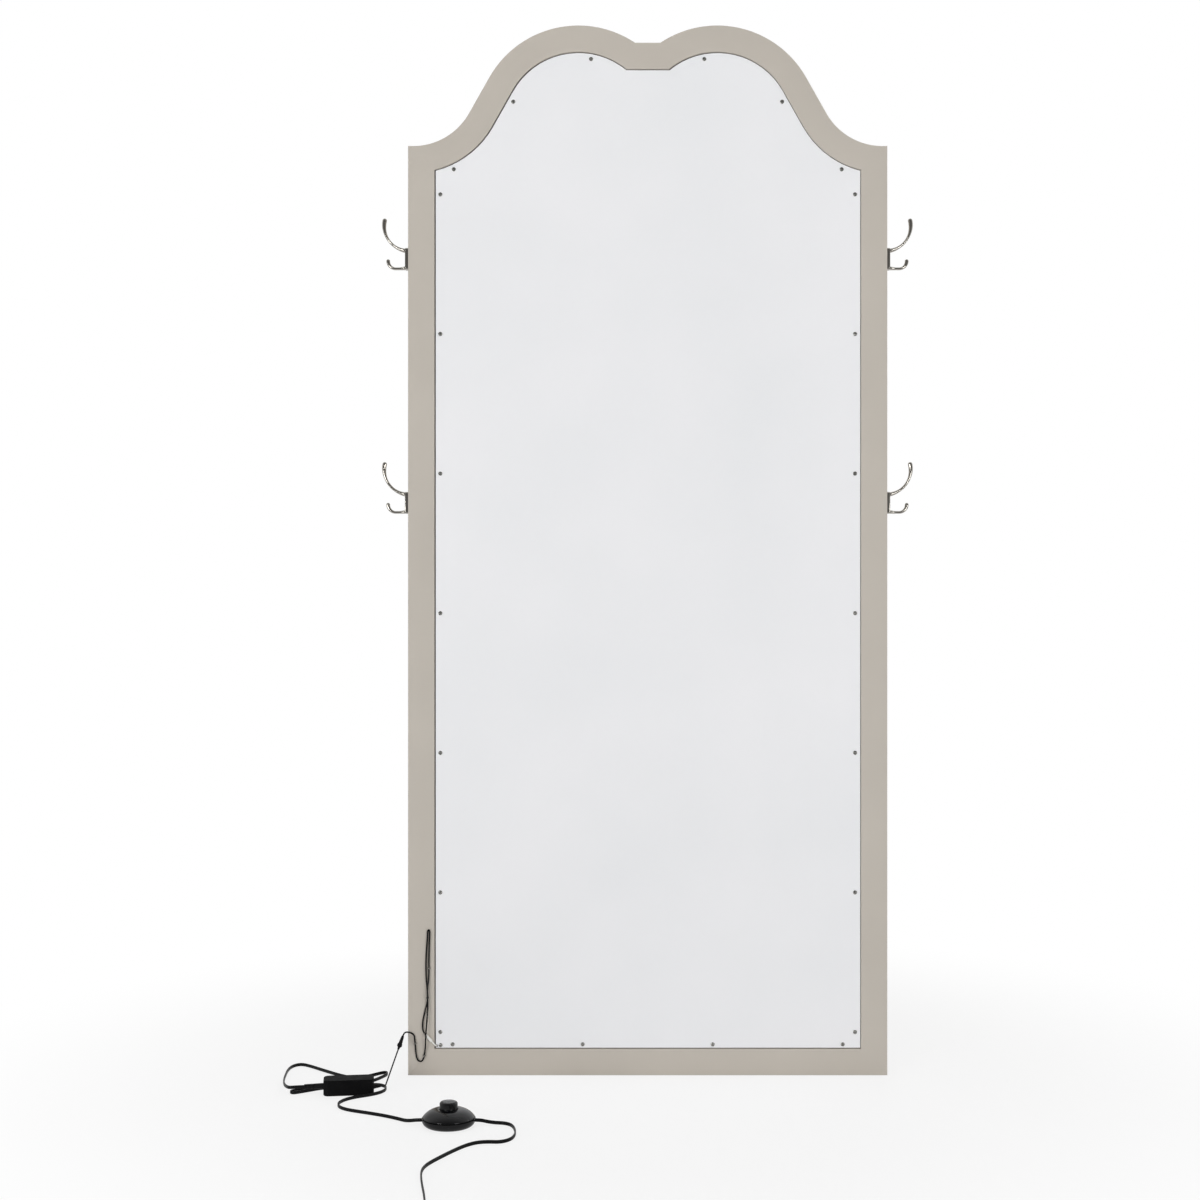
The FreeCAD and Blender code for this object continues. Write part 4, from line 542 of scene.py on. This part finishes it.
def lower_prong():
    """Short prong: a flat underside out from the plate's lower end, then an arc that curls up to the tip."""
    reach = np.linspace(PLATE / 2, SHORT_PRONG_REACH, 20)[:-1]
    degrees = np.linspace(-90, 0, 36)
    angle = np.radians(degrees)
    out = np.concatenate([reach, SHORT_PRONG_REACH + 0 * angle])
    root = np.clip(1 - (out - PLATE / 2) / 13.8, 0, 1) ** 1.5
    tip = np.concatenate([0 * reach, eased((degrees + 90) / 92)])
    thickness = PRONG_THICKNESS + 3.2 * root + 1.7 * tip
    width = PRONG_WIDTH + 5 * root - 1.5 * tip + 1.6 * np.exp(-np.maximum(out - PLATE, 0) / 1.4)
    normal = np.column_stack([np.cos(angle), 0 * angle, np.sin(angle)])
    straight = np.column_stack([reach, 0 * reach, thickness[:len(reach)] / 2])
    middle = vec(SHORT_PRONG_REACH, 0, PRONG_THICKNESS / 2 + SHORT_PRONG_RADIUS)
    centre = np.concatenate([straight, middle + SHORT_PRONG_RADIUS * normal])
    normal = np.concatenate([np.repeat([[0, 0, -1.0]], len(reach), 0), normal])
    return prong(centre, normal, thickness, width)


def hook_plate():
    """Rounded oblong raised off the frame, its outer edge eased by a quarter round: a circle of the corner's radius
    pulled apart into four quarters at each height."""
    quarter = np.linspace(0, np.pi / 2, 8)
    across, tall = PLATE_HALVES
    corner = PLATE_CORNER - np.append(0, PLATE_EDGE * (1 - np.cos(quarter)))[:, None]
    x = np.append(0, PLATE - PLATE_EDGE + PLATE_EDGE * np.sin(quarter))[:, None]
    turn = np.linspace(0, 2 * np.pi, 64, endpoint=False) + np.pi / 64
    c, s = np.cos(turn), np.sin(turn)
    y = np.sign(c) * (across - PLATE_CORNER) + c * corner
    z = np.sign(s) * (tall - PLATE_CORNER) + s * corner + tall
    return np.stack(np.broadcast_arrays(x, y, z), -1)


def make_hooks():
    casting = [(hook_plate(), "se"), (upper_prong(), "s"), (lower_prong(), "s")]
    rng = np.random.default_rng(3)
    screws = []
    for level, height in HOOK_HEIGHTS.items():
        for side, sign in (("left", -1), ("right", 1)):
            flip, move = vec(sign, 1, 1), vec(sign * HALF_WIDTH, -HOOK_SET_BACK, height)
            name = "%s_%s_hook" % (level, side)
            piece(name + "_casting", [(grid * flip + move, ends, 0) for grid, ends in casting], [NICKEL], [name],
                  sharp=50)
            for up in HOOK_SCREW_HEIGHTS:
                a, b, rise = screw(3.25, 0.2, 0.5, 3.5, 20.0, rng.uniform(0, np.pi))
                screws.append((np.stack([PLATE + rise, a, up + b], -1) * flip + move, "", 0))
    piece("hook_screw_set", screws, [NICKEL], ["hook_screws"], sharp=40)


make_hooks()


# Leads

def spline_points(name, route):
    """Points along the smooth cord: a quadratic NURBS spline with the route's points as its control points."""
    data = bpy.data.curves.new(name + "_line", "CURVE")
    data.dimensions = "3D"
    data.resolution_u = 8
    spline = data.splines.new("NURBS")
    spline.points.add(len(route) - 1)
    flat = np.column_stack([np.asarray(route) * MM, np.ones(len(route))])
    spline.points.foreach_set("co", flat.ravel())
    spline.order_u = 3
    spline.use_endpoint_u = True
    holder = bpy.data.objects.new(name + "_line", data)
    mesh = bpy.data.meshes.new_from_object(holder)
    points = np.zeros(len(mesh.vertices) * 3)
    mesh.vertices.foreach_get("co", points)
    bpy.data.objects.remove(holder)
    bpy.data.meshes.remove(mesh)
    return points.reshape(-1, 3) / MM


def round_section(diameter):
    """Circle as offsets across and upright."""
    turn = np.linspace(0, 2 * np.pi, 20, endpoint=False)
    return np.column_stack([np.cos(turn), np.sin(turn)]) * diameter / 2


def twin_section(thickness, height):
    """Flat twin sheath: a rounded oblong, drawn in by a shallow groove along the middle of its two broad sides."""
    turn = np.linspace(0, 2 * np.pi, 36, endpoint=False) + np.pi / 36
    c, s = np.cos(turn), np.sin(turn)
    x = thickness / 2 * np.sign(c) * np.abs(c) ** 0.62
    z = height / 2 * np.sign(s) * np.abs(s) ** 0.62
    return np.column_stack([x * (1 - 0.2 * np.exp(-(z / 0.5) ** 2)), z])


def cord(name, route, section, upright, sheath, nodes, slot, **facts):
    """A section carried along the cord's spline: at each point it is set across the run and square to it."""
    line = spline_points(name, route)
    run = unit(np.gradient(line, axis=0))
    across = unit(np.cross(run, upright))
    rise = np.cross(across, run)
    grid = line[:, None] + section[None, :, :1] * across[:, None] + section[None, :, 1:] * rise[:, None]
    made = piece(name, [(grid, "se", 0)], [sheath], nodes, sharp=60)


SLEEVE_AXIS = vec(-math.cos(math.radians(48)), 0, math.sin(math.radians(48)))
ADAPTER_RUN = vec(math.cos(math.radians(7)), math.sin(math.radians(7)), 0)
ADAPTER = laid(87.5, 115.0, 0)
SWITCH = laid(-95.8, 304.0, 0)
SLEEVE_START = laid(-49.3, 3.0, 51.0) + SLEEVE_AXIS * 12
SLEEVE_TIP = SLEEVE_START + SLEEVE_AXIS * 15
LOW_TIP = ADAPTER + ADAPTER_RUN * 54 + (0, 0, 10)
LOW_BEND = ADAPTER + ADAPTER_RUN * 61 + (0, 0, 10)
MAINS_TIP = ADAPTER - ADAPTER_RUN * 74 + (0, 0, 13)
SOCKET = laid(7.6, 12.0, 71.4)
PULL = unit(LOW_BEND - SOCKET)
FEED_ROUTE = [
    laid(-64.8, -21.0, 81.0), laid(-64.8, -7.2, 63.0), laid(-49.3, -7.2, 51.0), laid(-49.3, 3.0, 51.0), SLEEVE_START,
]
LIGHT_ROUTE = [SLEEVE_TIP, SLEEVE_TIP + SLEEVE_AXIS * 6.5] + [laid(*p) for p in (
    (-25.2, 2.4, 84.0), (-25.6, 2.2, 95.0), (-28.2, 2.2, 106.0), (-31.0, 2.2, 117.0), (-33.4, 2.2, 127.0),
    (-34.4, 2.2, 136.0), (-34.0, 2.2, 146.0), (-33.1, 2.2, 156.0), (-32.0, 2.2, 167.0), (-31.4, 2.2, 180.0),
    (-31.3, 2.2, 194.0), (-31.8, 2.2, 210.0), (-32.9, 2.2, 227.0), (-34.0, 2.2, 241.0), (-34.5, 2.2, 253.5),
    (-38.2, 2.2, 253.5), (-37.8, 2.2, 241.0), (-37.2, 2.2, 227.0), (-36.7, 2.2, 210.0), (-36.5, 2.2, 194.0),
    (-36.6, 2.2, 180.0), (-36.2, 2.8, 168.0), (-34.8, 4.8, 157.0), (-33.9, 5.4, 147.0), (-34.4, 5.4, 136.0),
    (-35.0, 5.4, 126.0), (-34.8, 5.6, 115.0), (-33.9, 6.4, 103.0), (-33.0, 7.6, 91.0), (-32.2, 8.2, 79.0),
    (-31.4, 8.2, 66.0), (-30.8, 5.8, 52.0), (-29.4, 2.2, 39.5), (-27.6, 2.2, 30.4), (-24.4, 2.2, 24.8),
    (-19.2, 2.2, 24.8), (-15.6, 2.2, 30.0), (-14.0, 2.2, 39.0), (-12.8, 2.2, 51.0), (-12.2, 2.2, 61.5),
    (-11.2, 2.2, 70.6), (-5.2, 2.4, 74.8), (2.2, 3.6, 76.6))] + [SOCKET - PULL * 6.5, SOCKET]
LOW_ROUTE = [LOW_TIP, LOW_BEND, LOW_BEND - PULL * 7, SOCKET + PULL * 31]
SWITCH_ROUTE = [MAINS_TIP, MAINS_TIP - ADAPTER_RUN * 11] + [laid(*p) for p in (
    (185.0, 127.5, 12.6), (190.0, 119.5, 11.6), (195.5, 106.0, 10.0), (200.5, 88.0, 7.8), (205.5, 64.0, 5.4),
    (209.5, 36.0, 3.6), (212.0, 6.0, 2.8), (213.5, -22.0, 2.8), (211.5, -45.0, 2.8), (205.0, -60.0, 2.8),
    (194.5, -65.0, 2.8), (179.0, -53.0, 2.8), (161.0, -34.0, 2.8), (140.0, -12.5, 2.8), (116.0, 11.5, 2.8),
    (94.0, 27.0, 2.8), (74.0, 22.0, 2.8), (58.0, 6.5, 2.8), (47.5, -5.5, 2.8), (40.0, -9.5, 2.8), (36.0, -3.5, 2.8),
    (37.0, 9.0, 2.8), (44.0, 25.0, 2.8), (51.0, 39.5, 2.8), (60.0, 52.0, 2.8), (74.0, 62.5, 2.8),
    (92.0, 71.0, 2.8), (114.0, 78.5, 2.8), (136.0, 86.5, 2.8), (155.0, 95.5, 2.8), (169.0, 103.5, 2.8),
    (178.0, 109.2, 2.8), (183.9, 113.4, 2.8), (184.8, 118.3, 2.8), (182.0, 122.4, 2.8), (177.1, 123.2, 2.8),
    (172.2, 119.8, 2.8), (165.0, 115.2, 2.8), (153.0, 106.5, 2.8), (139.0, 95.8, 2.8), (118.0, 88.0, 2.8),
    (95.0, 81.3, 2.8), (72.0, 75.0, 2.8), (54.0, 71.5, 2.8), (40.0, 73.0, 2.8), (31.0, 81.0, 2.8),
    (27.0, 94.0, 2.8), (28.0, 110.0, 2.8), (36.0, 124.5, 2.8), (49.0, 136.0, 2.8), (64.0, 145.0, 2.8),
    (79.0, 156.0, 2.8), (90.0, 171.0, 2.8), (95.0, 189.0, 2.8), (91.5, 208.0, 2.8), (79.0, 223.0, 2.8),
    (60.0, 234.0, 2.8), (36.0, 246.0, 2.8), (9.0, 261.0, 2.8), (-12.0, 276.5, 2.8), (-25.0, 288.0, 3.0),
    (-34.5, 298.0, 5.6))] + [SWITCH + (-49.8, 0, LEAD_IN_SWITCH), SWITCH + (-34, 0, LEAD_IN_SWITCH)]
PLUG_ROUTE = [SWITCH + (34, 0, LEAD_IN_SWITCH), SWITCH + (49.8, 0, LEAD_IN_SWITCH)] + [laid(*p) for p in (
    (-157.0, 303.0, 5.4), (-169.5, 301.0, 3.2), (-183.0, 301.5, 2.8), (-194.0, 310.0, 2.8),
    (-200.0, 327.0, 2.8), (-203.3, 350.0, 2.8), (-202.5, 374.0, 2.8), (-195.5, 393.0, 2.8),
    (-181.5, 403.5, 2.8), (-164.5, 401.5, 2.8), (-148.0, 404.5, 2.8), (-133.0, 418.0, 2.8),
    (-118.0, 441.0, 2.8), (-102.5, 470.0, 2.8), (-88.5, 498.0, 2.8), (-79.5, 520.0, 2.8),
    (-76.0, 545.0, 2.8), (-79.0, 578.0, 2.8), (-84.5, 616.0, 2.8), (-90.5, 653.0, 3.2),
    (-95.0, 690.0, 3.6), (-97.0, 722.0, 3.8), (-97.0, 752.0, 3.8))]
COIL = PLUG_ROUTE[-1] + (COIL_RADIUS, -5.6, 0)


def coil_points(turns):
    """Points of the coil: the radius falls and rises again steadily, and the height climbs a layer where it turns."""
    radius = COIL_RADIUS - COIL_STEP * np.minimum(turns, COIL_TURNS - turns)
    angle = np.pi + 2 * np.pi * turns
    climb = 0.5
    lift = COIL_LAYER * eased((turns - (COIL_TURNS - climb) / 2) / climb)
    return COIL + np.stack([radius * np.cos(angle), radius * np.sin(angle), lift], -1)


def make_connectors():
    """Turned pieces of the low-voltage lead: the ringed socket, and the collared plug that sits in it."""
    relief = np.linspace(0, 7, 57)
    rings = 0.22 * np.cos(relief * 2 * np.pi / 1.75) * eased(relief) * eased(7 - relief)
    body = np.linspace(7.3, 18.7, 12)
    socket = np.concatenate([[(0, 1.2), (0, 1.7)], np.column_stack([relief + 0.2, 1.9 + 0.8 * relief / 7 + rings]),
                             np.column_stack([body, 2.75 + 0.65 * (body - 7.3) / 11.4]), [(19, 3.2), (19, 1.8)]])
    quarter = np.linspace(0, np.pi / 2, 7)
    lead = np.column_stack([20.25 - 1.2 * np.cos(quarter), 3.1 + 1.2 * np.sin(quarter)])
    trail = np.column_stack([22.8 + 1.2 * np.sin(quarter), 3.1 + 1.2 * np.cos(quarter)])
    tail = [(24.6, 2.75), (27, 2.3), (30.6, 1.85), (31, 1.6), (31, 1.1)]
    plug = np.concatenate([[(19.05, 1.8)], lead, trail, tail])
    return [piece(name, [(turned(SOCKET, PULL, profile), "se", 0)], [SOFT_BLACK], [name[:-7]])
            for name, profile in (("low_socket_turned", socket), ("low_plug_turned", plug))]


def make_cords():
    up, off = (0, 0, 1), (0, -1, 0)
    socket, plug = make_connectors()
    twin = twin_section(*FLAT_LEAD)
    coiled = coil_points(np.arange(0, COIL_TURNS + 0.0001, 1 / 24))
    end = coiled[-1]
    plug_end = vec(end[0] + 37.6, end[1] - 2, 7.55)
    tail = [end + (10, 0, 0), plug_end - (17, 0, 0), plug_end - (5.6, 0, 0), plug_end]
    cord("feed_wire_sheath", FEED_ROUTE, round_section(LIGHT_LEAD), (0.3, 0.45, 0.84), WHITE_SHEATH, ["feed_wire"],
         "white_sheath", diameter=LIGHT_LEAD * MM, far_end="fitting", stiffness="medium", lay="loose",
         with_pieces=[NODES["lead_sleeve"]])
    cord("light_lead_sheath", LIGHT_ROUTE, round_section(LIGHT_LEAD), off, SHEATH, ["light_lead"], "black_lead",
         diameter=LIGHT_LEAD * MM, far_end="connector", stiffness="medium", lay="loose",
         with_pieces=[socket, NODES["socket_pin"]])
    cord("adapter_lead_sheath", LOW_ROUTE, round_section(LOW_LEAD), up, SHEATH, ["adapter_lead"], "black_lead",
         diameter=LOW_LEAD * MM, far_end="connector", stiffness="medium", lay="taut",
         with_pieces=[plug, NODES["plug_barrel"]])
    cord("switch_lead_sheath", SWITCH_ROUTE, twin, up, SHEATH, ["switch_lead"], "black_lead",
         diameter=FLAT_LEAD[1] * MM, far_end="object", stiffness="medium", lay="loose")
    cord("plug_lead_sheath", PLUG_ROUTE + list(coiled) + tail, twin, up, SHEATH, ["plug_lead", "plug_lead_coil"],
         "black_lead", diameter=FLAT_LEAD[1] * MM, far_end="plug", stiffness="medium", lay="coiled",
         with_pieces=[NODES["plug_body"], NODES["plug_blades"]])


NODES["lead_sleeve"].data.materials.clear()
NODES["lead_sleeve"].data.materials.append(
    moulded("moulded_white_sleeve", ("#e4e3de", "#eeede8"), (0.36, 0.46), 1.5, 0.02))
make_cords()


# Foot switch

def make_switch_cover():
    """Dome turned about the switch's axis: one arc from the rim over the shoulder to the button's collar, and an
    inner arc about the same centre. The rim is rounded by an arc that touches the dome, so that it catches light."""
    rim, shoulder, collar = vec(42.5, 11.5), vec(33.0, 21.07), vec(17.2, 26.0)
    wall, edge, bore, lip, seat = 2.0, 1.6, 14.8, 0.6, vec(20.0, 23.5)
    sides = np.stack([shoulder - rim, collar - rim])
    centre = rim + np.linalg.solve(2 * sides, (sides ** 2).sum(1))
    radius = np.linalg.norm(rim - centre)
    rise = rim[1] + edge - centre[1]
    bend = centre + (math.sqrt((radius - edge) ** 2 - rise ** 2), rise)

    def arc(middle, reach, first, last, steps):
        angle = np.linspace(first, last, steps)
        return middle + reach * np.column_stack([np.cos(angle), np.sin(angle)])

    touch, top = (math.atan2(*(point - centre)[::-1]) for point in (bend, collar))
    outer = [arc(bend, edge, -np.pi / 2, touch, 10), arc(centre, radius, touch, top, 40)]
    hole = [(bore + lip, collar[1]), (bore, collar[1] - lip), (bore, seat[1]), seat]
    inner = arc(centre, radius - wall, math.acos((seat[0] - centre[0]) / (radius - wall)),
                math.asin((rim[1] - centre[1]) / (radius - wall)), 24)
    profile = np.concatenate(outer + [hole, inner, outer[0][:1]])[:, ::-1]
    piece("switch_cover_turned", [(turned(SWITCH, (0, 0, 1), profile, 96), "", 0)], [GLOSS_ABS], ["switch_cover"])


def make_spring():
    """Helix: a round wire carried up five turns about the switch's axis. The real spring shortens as the button goes
    down; this one is built at one length.
    """
    radius, count, foot, tall, wire = 5.0, 5, 12.65, 16.9, 1.2
    turns = np.linspace(0, count, 241)
    angle = 2 * np.pi * turns
    line = SWITCH + np.column_stack([radius * np.cos(angle), radius * np.sin(angle), foot + tall * turns / count])
    run = unit(np.gradient(line, axis=0))
    outward = np.column_stack([np.cos(angle), np.sin(angle), 0 * angle])
    rise = np.cross(run, outward)
    section = round_section(wire)
    grid = line[:, None] + section[None, :, :1] * outward[:, None] + section[None, :, 1:] * rise[:, None]
    spring = piece("switch_return_spring", [(grid, "se", 0)], [SPRING_STEEL], ["switch_spring"],
                   sharp=60)
    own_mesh(spring)


make_switch_cover()
make_spring()


# Studio

def set_camera():
    """The photograph's place and lens: level, a little left of the middle, at about the height of a table."""
    data = bpy.data.cameras.new("camera")
    photo_pixels, focal_pixels = 1200, 1837
    data.sensor_width = 36.0
    data.lens = data.sensor_width * focal_pixels / photo_pixels
    data.clip_end = 60
    camera = bpy.data.objects.new("camera", data)
    camera.location = (-0.0831, -3.225, 0.828)
    camera.rotation_euler = (math.pi / 2, 0, 0)
    bpy.context.scene.collection.objects.link(camera)
    bpy.context.scene.camera = camera


def studio_floor():
    """Pale floor that runs up into a backdrop as one sheet: flat, a quarter round, and a wall. Away from the object
    the camera sees it plain white; close to the object it keeps the shadow. In what metal shows, it is darker on the
    camera's side, as the surround is."""
    turn = np.linspace(0, np.pi / 2, 24)
    bend = np.column_stack([3.5 + 1.5 * np.sin(turn), 1.5 * (1 - np.cos(turn))])
    profile = np.concatenate([[(-7.0, 0.0)], bend, [(5.0, 7.0)]])
    grid = np.stack(np.broadcast_arrays([[-8.0, 8.0]], profile[:, :1], profile[:, 1:] - 2e-5), -1)
    mesh = bpy.data.meshes.new("studio_floor")
    mesh.from_pydata(grid.reshape(-1, 3), [], faces_of(*grid.shape[:2], False)[0].tolist())
    mesh.polygons.foreach_set("use_smooth", np.ones(len(mesh.polygons), bool))
    material, tree, shader, place = blank("pale_matt_floor")
    feed(tree, shader, Base_Color=linear("#f4f4f4"), Roughness=0.9, Specular_IOR_Level=0.1)
    far = node(tree, "ShaderNodeVectorMath", {"operation": "LENGTH"}, "Value", in_0=place)
    lift = node(tree, "ShaderNodeMapRange", {"interpolation_type": "SMOOTHSTEP"}, Value=far, From_Min=0.5,
                From_Max=1.4, To_Min=0.78, To_Max=1.0)
    share = node(tree, "ShaderNodeMath", {"operation": "MULTIPLY"}, in_0=lift,
                 in_1=node(tree, "ShaderNodeLightPath", out="Is Camera Ray"))
    white = node(tree, "ShaderNodeEmission", Color=(1, 1, 1, 1), Strength=1.0)
    mixed = node(tree, "ShaderNodeMixShader", in_0=share, in_1=shader.outputs[0], in_2=white)
    shown = node(tree, "ShaderNodeMapRange", {"interpolation_type": "SMOOTHSTEP"}, From_Min=-1.4, From_Max=0.4,
                 To_Min=0.12, To_Max=0.65, Value=node(tree, "ShaderNodeSeparateXYZ", out="Y", Vector=place))
    dimmed = node(tree, "ShaderNodeEmission", Color=(1, 1, 1, 1), Strength=shown)
    both = node(tree, "ShaderNodeMixShader", in_0=node(tree, "ShaderNodeLightPath", out="Is Glossy Ray"), in_1=mixed,
                in_2=dimmed)
    feed(tree, tree.nodes["Material Output"], Surface=both)
    mesh.materials.append(material)
    floor = bpy.data.objects.new("studio_floor", mesh)
    bpy.context.scene.collection.objects.link(floor)


def lamp(name, place, aim, size, watts):
    """Soft rectangular lamp at a place, turned to its aim."""
    data = bpy.data.lights.new(name, "AREA")
    data.shape = "RECTANGLE"
    data.size, data.size_y = size
    data.energy = watts
    made = bpy.data.objects.new(name, data)
    back = -unit(np.subtract(aim, place))
    side = unit(np.cross((0, 0, 1), back))
    turn = np.eye(4)
    turn[:3, :3] = np.column_stack([side, np.cross(back, side), back])
    turn[:3, 3] = place
    made.matrix_world = turn.T
    bpy.context.scene.collection.objects.link(made)
    return made


def studio_light():
    """White surround: full white to the camera, darker on the camera's side in what metal and glass show, and half
    as strong in the light that it casts. Soft lamps do the rest."""
    world = bpy.data.worlds.new("studio")
    world.use_nodes = True
    tree = world.node_tree
    path = tree.nodes.new("ShaderNodeLightPath")
    side = node(tree, "ShaderNodeSeparateXYZ", out="Y", Vector=node(tree, "ShaderNodeTexCoord", out="Generated"))
    shown = node(tree, "ShaderNodeMapRange", {"interpolation_type": "SMOOTHSTEP"}, Value=side, From_Min=-0.7,
                 From_Max=0.4, To_Min=0.12, To_Max=0.75)
    glossy = node(tree, "ShaderNodeMath", {"operation": "MAXIMUM"}, in_0=path.outputs["Is Glossy Ray"],
                  in_1=path.outputs["Is Transmission Ray"])
    cast = node(tree, "ShaderNodeMapRange", Value=glossy, To_Min=0.5, To_Max=shown)
    strength = node(tree, "ShaderNodeMath", {"operation": "MAXIMUM"}, in_0=cast, in_1=path.outputs["Is Camera Ray"])
    feed(tree, tree.nodes["Background"], Color=(1, 1, 1, 1), Strength=strength)
    bpy.context.scene.world = world
    lamp("left_softbox", (-3.2, -4.2, 0.45), (0, 0, 0.5), (1.6, 1.4), 77)
    lamp("right_softbox", (3.0, -4.4, 0.45), (0, 0, 0.45), (1.6, 1.4), 62)
    # These two don't show in metal and glass: one would lie in the mirror as a white block, and the other would break
    # up into beads on the slim hooks
    lamp("front_softbox", (0.6, 4.2, 2.6), (0, 0, 0.9), (2.5, 2.5), 42).visible_glossy = False
    lamp("overhead_softbox", (-0.3, -2.2, 4.2), (-0.1, -0.6, 0), (2.5, 2.5), 22).visible_glossy = False


set_camera()
studio_floor()
studio_light()
bpy.context.scene.view_settings.view_transform = "Standard"
